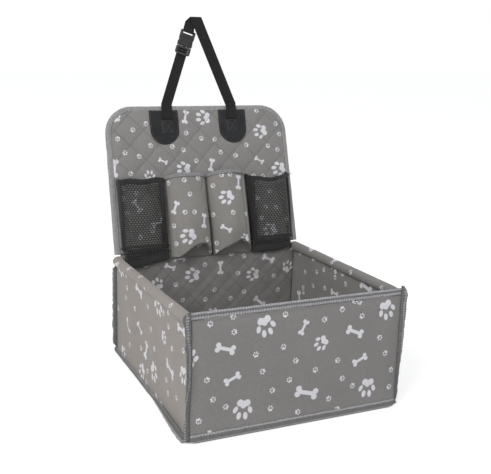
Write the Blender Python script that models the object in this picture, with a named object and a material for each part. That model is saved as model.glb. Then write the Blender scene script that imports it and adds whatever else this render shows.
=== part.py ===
"""Dog car seat: a soft box with a quilted back panel, pockets and a headrest strap.

Metres, +Z up. The origin is the middle of the underside. The open front panel faces -Y,
+X is to the right of someone looking at the front, and the back panel leans towards +Y.
"""

import math

import bmesh
import bpy
from mathutils import Vector

# Clearances and cloth
GAP = 0.0003
CLOTH = 0.0014
HEM_CLOTH = 0.0010
WEBBING_WIDTH = 0.0250
WEBBING_THICKNESS = 0.0013

# Box
SIDE_X_FLOOR = 0.2165
SIDE_X_RIM = 0.2190
FRONT_Y_FLOOR = -0.2300
FRONT_Y_TOP = -0.2180
FRONT_HEIGHT = 0.2400
BACK_Y = 0.2280
BASE_CLOTH = 0.0018
BASE_BOARD = 0.0025
FLOOR_PAD = 0.0076
FLOOR_PAD_CROWN = 0.0030
FLOOR_CORNER = 0.0120
PANEL_SKIN = 0.0015
FRONT_BOARD = 0.0030
TOP_BINDING_WRAP = 0.0008
TOP_BINDING_DEPTH = 0.0100
SEAM_BINDING_THICKNESS = 0.0042
SEAM_BINDING_REACH = 0.0112
REAR_BINDING_TOP = 0.1950
BOTTOM_BINDING_HEIGHT = 0.0102
BOTTOM_BINDING_THICKNESS = 0.0040

# Support rods and their sleeves
ROD_RADIUS = 0.0080
ROD_WALL = 0.0015
SLEEVE_CLEARANCE = 0.0005
ROD_FRONT_Z = 0.2275
ROD_REAR_Z = 0.2115
ROD_FRONT_Y = -0.2125
ROD_REAR_Y = 0.2175
LEFT_ROD_START = -0.2085
RIGHT_ROD_START = -0.1900
ROD_END = 0.2150
SLEEVE_END = 0.2160

# Quilting
QUILT_DIAMOND = 0.0670
QUILT_RISE = 0.0018
BACK_WALL_SKIN = 0.0038
BACK_WALL_BACKING = 0.0049

# Back panel, in its own frame: x across, n out of its front face, s up from the fold
LEAN = math.radians(17.5)
FOLD_Z = 0.2275
PANEL_LENGTH = 0.3220
PANEL_HALF_FOLD = 0.2245
PANEL_HALF_TOP = 0.2215
PANEL_CORNER = 0.0630
PANEL_BINDING_WIDTH = 0.0100
PANEL_HALF_THICKNESS = 0.0048
PANEL_BOARD = 0.0020
PANEL_QUILT_BASE = 0.0029
PANEL_BACKING = 0.0023
BOARD_INSET = 0.0033
FOLD_STRIP_TOP = 0.0085

# Pockets on the back panel
POCKET_BOTTOM = 0.0040
POCKET_TOP = 0.1600
BOTTLE_OUTER_X = 0.0965
BOTTLE_INNER_X = 0.0025
BOTTLE_DEPTH = 0.0330
BOTTLE_MOUTH = 0.0270
BOTTLE_ARCH = 0.0130
MESH_OUTER_X = 0.2080
MESH_INNER_X = 0.1020
MESH_DEPTH = 0.0250
MESH_SAG = 0.0140
BOTTLE_COLUMNS = 14
BOTTLE_ROWS = 9
NET_COLUMNS = 10
NET_ROWS = 7
NET_THICKNESS = 0.0012
NET_STRAND_SHARE = 0.11
POCKET_BINDING_WRAP = 0.0006
POCKET_BINDING_DEPTH = 0.0090
LEFT_HEM_DROP = 0.0280
RIGHT_HEM_DROP = 0.0240

# Strap patches
PATCH_LEFT_X = -0.0855
PATCH_RIGHT_X = 0.0815
STRAP_LEFT_X = -0.0775
STRAP_RIGHT_X = 0.0805
PATCH_WIDTH = 0.0680
PATCH_TOP = 0.3090
PATCH_BOTTOM = 0.2330
LEATHER = 0.0016
SLOT_TOP = 0.2905
SLOT_BOTTOM = 0.2840
BLISTER_BOTTOM = 0.2580
BLISTER_WIDTH = 0.0300

# Strap, in a plane that stands upright over the fold at the panel's top edge
STRAP_RISE = 0.1925
APEX_X = -0.0110
LEFT_LEG_SLOPE = 0.3030
FOLD_OFFSET = 0.0016

# Side-release buckle on the left leg, in a frame with z along the leg
BUCKLE_ALONG = 0.1345
BUCKLE_WIDTH = 0.0340
BUCKLE_CENTRE_Y = -0.0026
SOCKET_LENGTH = 0.0360
SOCKET_THICKNESS = 0.0100
CAVITY_WIDTH = 0.0266
CAVITY_THICKNESS = 0.0054
CAVITY_LENGTH = 0.0240
WINDOW_START = 0.0070
WINDOW_END = 0.0205
BAR_RADIUS = 0.0017
SLOT_HEIGHT = 0.0046
PLUG_BASE = 0.0180
PLUG_THICKNESS = 0.0042
TONGUE_WIDTH = 0.0060
TONGUE_LENGTH = 0.0190
PRONG_ROOT_X = 0.0095
PRONG_WIDTH = 0.0030
PRONG_LENGTH = 0.0195
PRONG_REACH = 0.0160

# Values that follow from the ones above
FRONT_THICKNESS = 2 * PANEL_SKIN + FRONT_BOARD + 2 * GAP
FRONT_LEAN = math.atan2(FRONT_Y_TOP - FRONT_Y_FLOOR, FRONT_HEIGHT)
FRONT_HALF_FLOOR = SIDE_X_FLOOR + 0.0011
FRONT_HALF_TOP = SIDE_X_RIM + 0.0010
SLEEVE_INNER = ROD_RADIUS + SLEEVE_CLEARANCE
SLEEVE_OUTER = SLEEVE_INNER + HEM_CLOTH
BACK_THICKNESS = BACK_WALL_SKIN + GAP + BACK_WALL_BACKING
BACK_FRONT_Y = BACK_Y - BACK_THICKNESS
FOLD_Y = BACK_Y - BACK_THICKNESS / 2
FOLD_RADIUS = PANEL_HALF_THICKNESS - 0.0006
BACK_TOP = FOLD_Z - FOLD_RADIUS - GAP
ROD_SLOPE = (ROD_REAR_Z - ROD_FRONT_Z) / (ROD_REAR_Y - ROD_FRONT_Y)
NOTCH_X = SIDE_X_RIM - SLEEVE_OUTER - GAP
NOTCH_Z = ROD_REAR_Z - SLEEVE_OUTER - 0.0055
FLOOR_TOP = BASE_CLOTH + GAP + BASE_BOARD + GAP + FLOOR_PAD
QUILT_FACE = PANEL_BOARD / 2 + GAP + PANEL_QUILT_BASE
POCKET_BASE = QUILT_FACE + QUILT_RISE + GAP
PATCH_BASE = POCKET_BASE
STRAP_N = PATCH_BASE + LEATHER + GAP + WEBBING_THICKNESS / 2
STRAP_S = PANEL_LENGTH + 0.0012
UNDER_N = PATCH_BASE + 0.0002 + WEBBING_THICKNESS / 2
BLISTER_UNDERSIDE = UNDER_N + WEBBING_THICKNESS / 2 + GAP
LEFT_ANGLE = math.atan(LEFT_LEG_SLOPE)
RIGHT_ANGLE = math.atan2(STRAP_RIGHT_X - APEX_X, STRAP_RISE)
WEBBING_HALF = WEBBING_THICKNESS / 2
FOOT_TOP = STRAP_S - WEBBING_HALF - GAP


def clear_scene():
    for item in list(bpy.data.objects):
        bpy.data.objects.remove(item, do_unlink=True)


def make_material(name, colour, roughness, metallic=0.0):
    material = bpy.data.materials.new(name)
    material.use_nodes = True
    shader = material.node_tree.nodes["Principled BSDF"]
    shader.inputs["Base Color"].default_value = (*colour, 1.0)
    shader.inputs["Roughness"].default_value = roughness
    shader.inputs["Metallic"].default_value = metallic
    return material


FINISHES = {
    "printed": ((0.235, 0.230, 0.222), 0.72),
    "plain": ((0.200, 0.198, 0.195), 0.78),
    "binding": ((0.250, 0.255, 0.268), 0.80),
    "board": ((0.120, 0.110, 0.100), 0.70),
    "net": ((0.030, 0.030, 0.030), 0.70),
    "black_binding": ((0.012, 0.012, 0.012), 0.75),
    "leather": ((0.022, 0.023, 0.025), 0.42),
    "webbing": ((0.018, 0.018, 0.018), 0.62),
    "buckle": ((0.014, 0.014, 0.015), 0.35),
    "rod": ((0.550, 0.550, 0.540), 0.40),
}


def finish(bm, name, look, parent=None, sharp=35.0, location=(0, 0, 0), rotation=(0, 0, 0)):
    """Turns a bmesh into a named object with its own material."""
    bm.normal_update()
    bmesh.ops.recalc_face_normals(bm, faces=bm.faces)
    mesh = bpy.data.meshes.new(name)
    bm.to_mesh(mesh)
    bm.free()
    colour, roughness = FINISHES[look]
    mesh.materials.append(make_material(name, colour, roughness))
    mesh.shade_smooth()
    mesh.set_sharp_from_angle(angle=math.radians(sharp))
    item = bpy.data.objects.new(name, mesh)
    bpy.context.collection.objects.link(item)
    item.parent = parent
    item.location = location
    item.rotation_euler = rotation
    return item


def make_empty(name, location, rotation=(0, 0, 0), parent=None):
    item = bpy.data.objects.new(name, None)
    item.empty_display_size = 0.02
    bpy.context.collection.objects.link(item)
    item.parent = parent
    item.location = location
    item.rotation_euler = rotation
    return item


def mix(a, b, t):
    return a + (b - a) * t


def bump(t):
    """Rises from 0 to 1 and falls to 0 again as t runs from 0 to 1."""
    return math.sin(math.pi * min(max(t, 0.0), 1.0))


def slab(columns, rows, front, back, keep=None):
    """A sheet with thickness: front(u, v) and back(u, v) give its two faces."""
    bm = bmesh.new()
    bmesh.ops.create_grid(bm, x_segments=columns, y_segments=rows, size=0.5)
    if keep:
        far = [f for f in bm.faces if not keep(*(f.calc_center_median().xy + Vector((0.5, 0.5))))]
        bmesh.ops.delete(bm, geom=far, context="FACES")
    give_thickness(bm, front, back)
    return bm


def give_thickness(bm, front, back):
    out = bmesh.ops.extrude_face_region(bm, geom=bm.faces[:])
    moved = {v for v in out["geom"] if isinstance(v, bmesh.types.BMVert)}
    for vert in bm.verts:
        u, v = vert.co.x + 0.5, vert.co.y + 0.5
        vert.co = Vector(back(u, v) if vert in moved else front(u, v))


def sweep(rings):
    """A solid through closed rings of points, extruded from each to the next."""
    bm = bmesh.new()
    first = bm.faces.new([bm.verts.new(p) for p in rings[0]])
    face = first
    for ring in rings[1:]:
        out = bmesh.ops.extrude_face_region(bm, geom=[face])
        if face is not first:
            bmesh.ops.delete(bm, geom=[face], context="FACES_ONLY")
        face = next(g for g in out["geom"] if isinstance(g, bmesh.types.BMFace))
        for vert, point in zip(face.verts, ring):
            vert.co = Vector(point)
    return bm


def shell(outer, inner):
    """An open tube: the outer rings, turned in at the end to come back along the inner ones."""
    bm = bmesh.new()
    rings = [[bm.verts.new(p) for p in ring] for ring in outer + inner[::-1]]
    for a, b in zip(rings, rings[1:] + rings[:1]):
        for i in range(len(a)):
            j = (i + 1) % len(a)
            bm.faces.new((a[i], a[j], b[j], b[i]))
    return bm


def plate(outline, low, high, place):
    """An outline of (a, b) points made thick from low to high, put in space by place."""
    return sweep([[place(a, b, t) for a, b in outline] for t in (low, high)])


def rounded_rectangle(half_x, low, high, radius, steps=5):
    points = []
    corners = ((half_x, high, 0), (-half_x, high, 90), (-half_x, low, 180), (half_x, low, 270))
    for x, y, start in corners:
        cx = x - math.copysign(radius, x)
        cy = y - radius if y == high else y + radius
        for i in range(steps + 1):
            angle = math.radians(start + 90 * i / steps)
            points.append((cx + radius * math.cos(angle), cy + radius * math.sin(angle)))
    return points


def box(low, high):
    """A block between two opposite corners."""
    bm = bmesh.new()
    bmesh.ops.create_cube(bm, size=1.0)
    for vert in bm.verts:
        vert.co = Vector(mix(a, b, c + 0.5) for a, b, c in zip(low, high, vert.co))
    return bm


def rounded_box(low, high, radius, segments=2):
    bm = box(low, high)
    bmesh.ops.bevel(
        bm, geom=bm.edges[:], offset=radius, segments=segments, profile=0.5,
        affect="EDGES", material=-1,
    )
    return bm


def cut(target, bm, name, operation="DIFFERENCE"):
    """Cuts the target with, or joins to it, a helper solid that isn't part of the object."""
    bm.normal_update()
    bmesh.ops.recalc_face_normals(bm, faces=bm.faces)
    mesh = bpy.data.meshes.new(name)
    bm.to_mesh(mesh)
    bm.free()
    tool = bpy.data.objects.new(name, mesh)
    bpy.context.collection.objects.link(tool)
    tool.parent = target.parent
    tool.location = target.location
    tool.rotation_euler = target.rotation_euler
    tool.hide_render = True
    tool.display_type = "WIRE"
    modifier = target.modifiers.new(name, "BOOLEAN")
    modifier.operation = operation
    modifier.solver = "EXACT"
    modifier.object = tool


def rod_axis_z(y):
    return ROD_FRONT_Z + ROD_SLOPE * (y - ROD_FRONT_Y)


def side_x(z):
    return mix(SIDE_X_FLOOR, SIDE_X_RIM, min(z / ROD_REAR_Z, 1.0))


def front_half(z):
    return mix(FRONT_HALF_FLOOR, FRONT_HALF_TOP, z / FRONT_HEIGHT)


def front_y(z):
    return mix(FRONT_Y_FLOOR, FRONT_Y_TOP, z / FRONT_HEIGHT)


def quilt_height(x, s):
    """Puff of the diamond quilting, 0 on its stitched lines and 1 in each diamond's middle."""
    a = math.sin(math.pi * (x + s) / QUILT_DIAMOND)
    b = math.sin(math.pi * (x - s) / QUILT_DIAMOND)
    return min(1.0, 1.25 * abs(a * b) ** 0.7)


def crease_quilt(bm, step, first_x, first_s):
    """Splits each quad along the stitched line that crosses it."""
    for face in [f for f in bm.faces if len(f.verts) == 4]:
        centre = face.calc_center_median()
        i = round((centre.x - first_x) / step - 0.5)
        j = round((centre.z - first_s) / step - 0.5)
        rising = (i - j) % 2 == 0
        corners = sorted(face.verts, key=lambda v: v.co.x + (v.co.z if rising else -v.co.z))
        bmesh.utils.face_split(face, corners[0], corners[-1])


# The box


def build_base():
    half = FRONT_HALF_FLOOR - 0.0006
    outline = rounded_rectangle(half, FRONT_Y_FLOOR + 0.0004, BACK_Y, FLOOR_CORNER)
    finish(plate(outline, 0.0, BASE_CLOTH, lambda a, b, t: (a, b, t)), "base_cloth", "plain")
    inner_x = SIDE_X_FLOOR - CLOTH / 2 - GAP
    inner_front = FRONT_Y_FLOOR + FRONT_THICKNESS + 0.0010
    inner_back = BACK_FRONT_Y - QUILT_RISE - 2 * GAP
    low = BASE_CLOTH + GAP
    outline = rounded_rectangle(inner_x - GAP, inner_front, inner_back, FLOOR_CORNER / 2, 2)
    board = plate(outline, low, low + BASE_BOARD, lambda a, b, t: (a, b, t))
    finish(board, "base_board", "board")
    low += BASE_BOARD + GAP

    def top(u, v):
        x, y = mix(-inner_x, inner_x, u), mix(inner_front, inner_back, v)
        side = (1 - (2 * u - 1) ** 6) * (1 - (2 * v - 1) ** 6)
        puff = quilt_height(x, y) * QUILT_RISE
        return (x, y, low + mix(0.55 * FLOOR_PAD, FLOOR_PAD + FLOOR_PAD_CROWN - puff, side))

    def bottom(u, v):
        return (mix(-inner_x, inner_x, u), mix(inner_front, inner_back, v), low)

    finish(slab(13, 13, top, bottom), "floor_pad", "printed")


def front_outline(low, high, radius):
    """The front panel's tapering outline, with its bottom corners rounded."""
    points = [(-front_half(high), high), (front_half(high), high)]
    for side in (1, -1):
        arc = []
        for i in range(5):
            angle = math.radians(22.5 * i)
            x = front_half(low) - radius + radius * math.cos(angle)
            arc.append((side * x, low + radius - radius * math.sin(angle)))
        points += arc if side > 0 else arc[::-1]
    return points


def build_front_panel():
    place = {"location": (0, FRONT_Y_FLOOR, 0), "rotation": (-FRONT_LEAN, 0, 0)}
    low, high = BASE_CLOTH + 0.0007, FRONT_HEIGHT - GAP - TOP_BINDING_WRAP
    depth = 0.0
    layers = (
        ("front_panel_cloth", "printed", PANEL_SKIN, low),
        ("front_panel_board", "board", FRONT_BOARD, low + 0.0020),
        ("front_panel_lining", "printed", PANEL_SKIN, low),
    )
    for name, look, thickness, bottom in layers:
        outline = front_outline(bottom, high, FLOOR_CORNER)
        layer = plate(outline, depth, depth + thickness, lambda a, b, t: (a, t, b))
        finish(layer, name, look, **place)
        depth += thickness + GAP
    depth -= GAP
    wrap, inner = TOP_BINDING_WRAP, high + GAP
    foot = high - TOP_BINDING_DEPTH
    section = [
        (-GAP, foot), (-GAP, inner), (depth + GAP, inner), (depth + GAP, foot),
        (depth + GAP + wrap, foot), (depth + GAP + wrap, inner + 0.3 * wrap),
        (depth, inner + wrap), (0, inner + wrap),
        (-GAP - wrap, inner + 0.3 * wrap), (-GAP - wrap, foot),
    ]
    half = FRONT_HALF_TOP - 0.0016
    rings = [[(x, y, z) for y, z in section] for x in (-half, half)]
    finish(sweep(rings), "front_top_binding", "binding", **place)


def seam_binding(name, out, low, high, corner):
    """A bound corner seam that stands out along out; corner(z) is the edge that it grows from."""
    out = Vector((*out, 0)).normalized()
    across = Vector((out.y, -out.x, 0))
    half, reach = SEAM_BINDING_THICKNESS / 2, SEAM_BINDING_REACH
    section = [
        (GAP, -half), (reach * 0.86, -half), (reach, -0.45 * half),
        (reach, 0.45 * half), (reach * 0.86, half), (GAP, half),
    ]
    rings = []
    steps = 12
    for i in range(steps + 1):
        z = mix(low, high, i / steps)
        wave = 0.0007 * math.sin(i * 1.35 + out.x) * bump(i / steps)
        base = Vector(corner(z))
        rings.append([base + out * u + across * (v + wave * u / reach) for u, v in section])
    finish(sweep(rings), name, "binding")


def build_seam_bindings():
    low = BOTTOM_BINDING_HEIGHT + 0.0016
    for word, side, forward in (("left", -1, -0.15), ("right", 1, -1.0)):
        seam_binding(
            f"front_{word}_seam_binding", (side, forward), low, FRONT_HEIGHT + 0.0025,
            lambda z, side=side: (side * front_half(z), front_y(z), z),
        )
        seam_binding(
            f"rear_{word}_seam_binding", (side, 0.7), low, REAR_BINDING_TOP,
            lambda z, side=side: (side * FRONT_HALF_FLOOR, BACK_Y, z),
        )


def bottom_binding(name, start, end, reach, thick, steps=20):
    """A bound bottom seam that stands out along reach and waves a little."""
    start, end = Vector(start), Vector(end)
    reach, thick = Vector(reach).normalized(), Vector(thick).normalized()
    rings = []
    for i in range(steps + 1):
        t = i / steps
        swell = BOTTOM_BINDING_THICKNESS * (1 + 0.16 * math.sin(t * 23.0) * bump(t))
        tall = BOTTOM_BINDING_HEIGHT * (1 - 0.07 * (1 + math.sin(t * 17.0)) * bump(t))
        section = [
            (0, 0), (0, swell * 0.7), (0.0025, swell), (tall - 0.0020, swell), (tall, swell * 0.7),
            (tall, 0),
        ]
        point = mix(start, end, t)
        rings.append([point + reach * a + thick * b for a, b in section])
    finish(sweep(rings), name, "binding")


def build_bottom_bindings():
    x = FRONT_HALF_FLOOR - 0.0010
    front, back, low = FRONT_Y_FLOOR - 2 * GAP, BACK_Y + GAP, 0.0005
    up = (0, 0, 1)
    bottom_binding("bottom_front_binding", (-x, front, low), (x, front, low), up, (0, -1, 0), 28)
    bottom_binding("bottom_rear_binding", (x, back, low), (-x, back, low), up, (0, 1, 0), 14)
    x = SIDE_X_FLOOR + CLOTH / 2 + 2 * GAP
    y = BACK_Y - 0.0040
    for word, side in (("left", -1), ("right", 1)):
        start, end = (side * (x + 0.0013), -y, low), (side * (x + 0.0013), y, low)
        bottom_binding(f"bottom_{word}_binding", start, end, (side, 0, 0.36), (-0.36 * side, 0, 1))


def build_side_wall(word, side):
    """A hanging cloth wall between the front panel and the back, under its sleeve."""
    low = BASE_CLOTH + GAP

    rear = BACK_Y - BACK_WALL_BACKING - GAP
    inset = FRONT_THICKNESS + 2 * GAP

    def point(u, v, offset):
        foot_y = mix(front_y(low) + inset, rear, u)
        top_y = mix(front_y(ROD_FRONT_Z - SLEEVE_OUTER) + inset, rear, u)
        z = mix(low, rod_axis_z(top_y) - SLEEVE_OUTER - GAP, v)
        slack = bump((v - 0.125) / 0.875) * bump(u)
        fold = 0.0016 * math.sin(2 * math.pi * (1.6 * u + 0.35 * v) + side)
        fold += 0.0010 * math.sin(2 * math.pi * (3.3 * u - 0.6 * v))
        return (side * (side_x(z) + slack * (fold - 0.0022) + offset), mix(foot_y, top_y, v), z)

    wall = slab(
        16, 8, lambda u, v: point(u, v, CLOTH / 2), lambda u, v: point(u, v, -CLOTH / 2)
    )
    finish(wall, f"{word}_side_wall", "printed")


def build_sleeve(word, side, rod_start):
    """The hem that holds a support rod: round along the rod, flat where the rod stops short."""
    start = front_y(FRONT_HEIGHT) + FRONT_THICKNESS + TOP_BINDING_WRAP + 3 * GAP
    round_start = rod_start - 0.0012
    stations = []
    if round_start - start > 0.0100:
        stations = [(start, 1.0), (mix(start, round_start, 0.5), 0.65), (round_start - 0.0030, 0.25)]
    else:
        round_start = start
    stations += [(mix(round_start, SLEEVE_END, i / 6), 0.0) for i in range(7)]
    outer, inner = [], []
    segments = 14
    for y, press in stations:
        for rings, radius in ((outer, SLEEVE_OUTER), (inner, SLEEVE_INNER)):
            wide = mix(radius, radius - SLEEVE_INNER + 0.0008, press)
            ring = []
            for i in range(segments):
                angle = 2 * math.pi * i / segments
                x = side * SIDE_X_RIM + wide * math.cos(angle)
                ring.append((x, y, rod_axis_z(y) + radius * math.sin(angle)))
            rings.append(ring)
    finish(shell(outer, inner), f"{word}_rod_sleeve", "printed")


def build_rod(word, side, start):
    """A plastic support tube, whose origin lies on its own axis."""
    origin = Vector((side * SIDE_X_RIM, start, rod_axis_z(start)))
    end = Vector((side * SIDE_X_RIM, ROD_END, rod_axis_z(ROD_END)))
    length = (end - origin).length
    rings = {}
    for key, radius in (("outer", ROD_RADIUS), ("inner", ROD_RADIUS - ROD_WALL)):
        rings[key] = []
        for y in (0.0, length):
            ring = []
            for i in range(16):
                angle = 2 * math.pi * i / 16
                ring.append((radius * math.cos(angle), y, radius * math.sin(angle)))
            rings[key].append(ring)
    tilt = math.atan(ROD_SLOPE)
    tube = shell(rings["outer"], rings["inner"])
    finish(tube, f"{word}_support_rod", "rod", location=origin, rotation=(tilt, 0, 0))


def build_back_wall():
    """The lower back wall, notched at its top corners where the rods slide out."""
    low = BASE_CLOTH + GAP
    half = FRONT_HALF_FLOOR
    outline = [
        (-half, low), (half, low), (half, NOTCH_Z), (NOTCH_X, NOTCH_Z), (NOTCH_X, BACK_TOP),
        (-NOTCH_X, BACK_TOP), (-NOTCH_X, NOTCH_Z), (-half, NOTCH_Z),
    ]
    front = BACK_Y - BACK_WALL_BACKING
    backing = plate(outline, front, BACK_Y, lambda a, b, t: (a, t, b))
    finish(backing, "back_wall_backing", "plain")
    columns, rows = 26, 13
    inner_x = SIDE_X_FLOOR - CLOTH / 2 - 2 * GAP
    bottom = FLOOR_TOP + FLOOR_PAD_CROWN + 0.0010

    def spot(u, v):
        x, z = mix(-inner_x, inner_x, u), mix(bottom, BACK_TOP, v)
        if z > NOTCH_Z - 0.0060 and abs(x) > NOTCH_X:
            x = math.copysign(NOTCH_X, x)
        return x, z

    def face(u, v):
        x, z = spot(u, v)
        edge = min(1.0, 14 * u, 14 * (1 - u), 9 * v, 7 * (1 - v))
        return (x, BACK_FRONT_Y - QUILT_RISE * edge * quilt_height(x, z - FOLD_Z), z)

    def rear(u, v):
        x, z = spot(u, v)
        return (x, front - GAP, z)

    quilt = slab(columns, rows, face, rear)
    step = 2 * inner_x / columns
    crease_quilt(quilt, step, -inner_x, bottom)
    finish(quilt, "back_wall_quilt", "printed")


# The back panel


def in_panel(x, n, s):
    """Panel coordinates to those of the fold's empty."""
    return (x, -n, s)


def panel_half(s):
    return mix(PANEL_HALF_FOLD, PANEL_HALF_TOP, min(s / (PANEL_LENGTH - PANEL_CORNER), 1.0))


def panel_route(steps=8):
    """Outer edge of the panel from its lower left round to its lower right, with inward normals."""
    shoulder = PANEL_LENGTH - PANEL_CORNER
    route = [((-PANEL_HALF_FOLD, 0.0), (1.0, 0.0)), ((-panel_half(shoulder / 2), shoulder / 2), (1.0, 0.0))]
    centre = PANEL_HALF_TOP - PANEL_CORNER
    for side, first in ((-1, 180), (1, 90)):
        for i in range(steps + 1):
            angle = math.radians(first - 90 * i / steps)
            c, s = math.cos(angle), math.sin(angle)
            point = (side * centre + PANEL_CORNER * c, shoulder + PANEL_CORNER * s)
            route.append((point, (-c, -s)))
    route += [((panel_half(shoulder / 2), shoulder / 2), (-1.0, 0.0)), ((PANEL_HALF_FOLD, 0.0), (-1.0, 0.0))]
    return route


def panel_outline(inset, bottom):
    points = [(p[0] + d[0] * inset, max(p[1] + d[1] * inset, bottom)) for p, d in panel_route()]
    return points


def build_panel(fold):
    bottom = FOLD_STRIP_TOP + GAP
    board = PANEL_BOARD / 2
    layer = plate(panel_outline(BOARD_INSET, bottom), -board, board, lambda a, b, t: in_panel(a, t, b))
    finish(layer, "back_panel_board", "board", fold)
    inset = PANEL_BINDING_WIDTH + GAP
    rear = -board - GAP
    outline = panel_outline(inset, bottom)
    layer = plate(outline, rear - PANEL_BACKING, rear, lambda a, b, t: in_panel(a, t, b))
    finish(layer, "back_panel_backing", "plain", fold)

    step = QUILT_DIAMOND / 4
    columns = 2 * math.ceil((max(PANEL_HALF_FOLD, PANEL_HALF_TOP) - inset) / step)
    rows = math.ceil(PANEL_LENGTH / step - 0.5)
    first = -step * columns / 2

    def face(u, v):
        x, s = first + u * columns * step, v * rows * step + step / 2
        return in_panel(x, QUILT_FACE + QUILT_RISE * quilt_height(x, s - step / 2), s)

    def rest(u, v):
        return in_panel(first + u * columns * step, board + GAP, v * rows * step + step / 2)

    quilt = slab(columns, rows, face, rest)
    crease_quilt(quilt, step, first, step / 2)
    item = finish(quilt, "back_panel_quilt", "printed", fold)
    cut(item, plate(outline, -0.01, 0.02, lambda a, b, t: in_panel(a, t, b)), "quilt_outline", "INTERSECT")

    half, wide, slot = PANEL_HALF_THICKNESS, PANEL_BINDING_WIDTH, board + GAP
    deep = BOARD_INSET - GAP
    section = [
        (0, -0.6 * half), (0.0015, -half), (wide, -half), (wide, -slot), (deep, -slot),
        (deep, slot), (wide, slot), (wide, half), (0.0015, half), (0, 0.6 * half),
    ]
    rings = []
    for point, inward in panel_route():
        rings.append([in_panel(point[0] + inward[0] * w, n, point[1] + inward[1] * w) for w, n in section])
    finish(sweep(rings), "back_panel_binding", "binding", fold)

    radius = FOLD_RADIUS
    profile = [(radius, FOLD_STRIP_TOP), (radius, 0.0)]
    for i in range(1, 8):
        angle = math.pi * i / 8
        profile.append((radius * math.cos(angle), -radius * math.sin(angle)))
    profile += [(-radius, 0.0), (-radius, FOLD_STRIP_TOP)]
    reach = PANEL_HALF_FOLD - PANEL_BINDING_WIDTH - 2 * GAP
    rings = [[in_panel(x, n, s) for n, s in profile] for x in (-reach, reach)]
    finish(sweep(rings), "back_fold_strip", "plain", fold)


def pocket_depth(v, mouth, depth):
    """Depth of a pocket from its closed foot (v = 0) to its mouth (v = 1)."""
    rise = math.sin(0.5 * math.pi * min(v / 0.22, 1.0))
    belly = mix(depth, mouth, max(0.0, (v - 0.22) / 0.78) ** 1.4)
    return 0.0024 + (belly - 0.0024) * rise


def pocket_lift(side, u, v):
    """How far slack cloth rides up at a bottle pocket's foot, most of all a little off its middle."""
    peak = mix(0.5, 0.66, u) if side < 0 else mix(0.5, 0.58, u)
    arch = bump(u / (2 * peak) if u < peak else 0.5 + (u - peak) / (2 * (1 - peak)))
    low = min(v / 0.20, 1.0)
    return BOTTLE_ARCH * arch * low * max(0.0, 1 - max(0.0, v - 0.25) / 0.60) ** 2


def bottle_point(side, u, v, offset):
    """A point of the bowed cloth of a bottle pocket, offset out of its middle surface."""
    centre = side * (BOTTLE_OUTER_X + BOTTLE_INNER_X) / 2
    half = (BOTTLE_OUTER_X - BOTTLE_INNER_X) / 2 - CLOTH / 2 + offset
    depth = pocket_depth(v, BOTTLE_MOUTH, BOTTLE_DEPTH) - CLOTH / 2 + offset
    angle = math.pi * u
    s = mix(POCKET_BOTTOM, POCKET_TOP, v) + pocket_lift(side, u, v)
    return in_panel(centre - half * math.cos(angle), POCKET_BASE + depth * math.sin(angle), s)


def mesh_point(side, u, v, offset):
    """A point of a mesh pocket's net, which bows less and has squarer sides."""
    centre = side * (MESH_OUTER_X + MESH_INNER_X) / 2
    half = (MESH_OUTER_X - MESH_INNER_X) / 2 - NET_THICKNESS / 2 + offset
    swell = min(1.0, 0.10 + 1.15 * v)
    depth = max(0.0022, MESH_DEPTH * math.sin(0.5 * math.pi * swell) * min(1.0, 0.12 + 2.4 * v))
    depth += offset
    angle = math.pi * u
    top = POCKET_TOP - MESH_SAG * bump(u)
    s = mix(POCKET_BOTTOM, top, v)
    n = POCKET_BASE + depth * max(math.sin(angle), 0.0) ** 0.65
    return in_panel(centre - half * math.cos(angle), n, s)


def on_grid(point, columns, rows):
    """The pocket surface as its own grid of flat patches, so that its tape follows it."""

    def evaluate(side, u, v, offset):
        i, j = min(int(u * columns), columns - 1), min(int(v * rows), rows - 1)
        near = [Vector(point(side, (i + a) / columns, (j + b) / rows, offset)) for b in (0, 1) for a in (0, 1)]
        across = u * columns - i
        return mix(mix(near[0], near[1], across), mix(near[2], near[3], across), v * rows - j)

    return evaluate


def pocket_binding(name, look, side, surface, half_cloth, columns, fold):
    """A folded tape over a pocket's top edge; surface(side, u, v, offset) is the pocket."""
    slot, wrap = half_cloth + GAP, POCKET_BINDING_WRAP
    foot = 1 - POCKET_BINDING_DEPTH / (POCKET_TOP - POCKET_BOTTOM)
    section = [
        (-slot - wrap, foot, 0), (-slot, foot, 0), (-slot, 1, GAP), (slot, 1, GAP), (slot, foot, 0),
        (slot + wrap, foot, 0), (slot + wrap, 1, GAP + 0.5 * wrap), (0.5 * slot, 1, GAP + 1.6 * wrap),
        (-0.5 * slot, 1, GAP + 1.6 * wrap), (-slot - wrap, 1, GAP + 0.5 * wrap),
    ]
    rings = []
    for i in range(columns + 1):
        u = i / columns
        rings.append([surface(side, u, v, r) + Vector((0, 0, h)) for r, v, h in section])
    finish(sweep(rings), name, look, fold)


def build_bottle_pockets(fold):
    half = CLOTH / 2
    surface = on_grid(bottle_point, BOTTLE_COLUMNS, BOTTLE_ROWS)
    for word, side in (("left", -1), ("right", 1)):
        pocket = slab(
            BOTTLE_COLUMNS, BOTTLE_ROWS,
            lambda u, v, side=side: surface(side, u, v, half),
            lambda u, v, side=side: surface(side, u, v, -half),
        )
        finish(pocket, f"{word}_bottle_pocket", "printed", fold)
        name = f"{word}_bottle_binding"
        pocket_binding(name, "binding", side, surface, half, BOTTLE_COLUMNS, fold)


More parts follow.
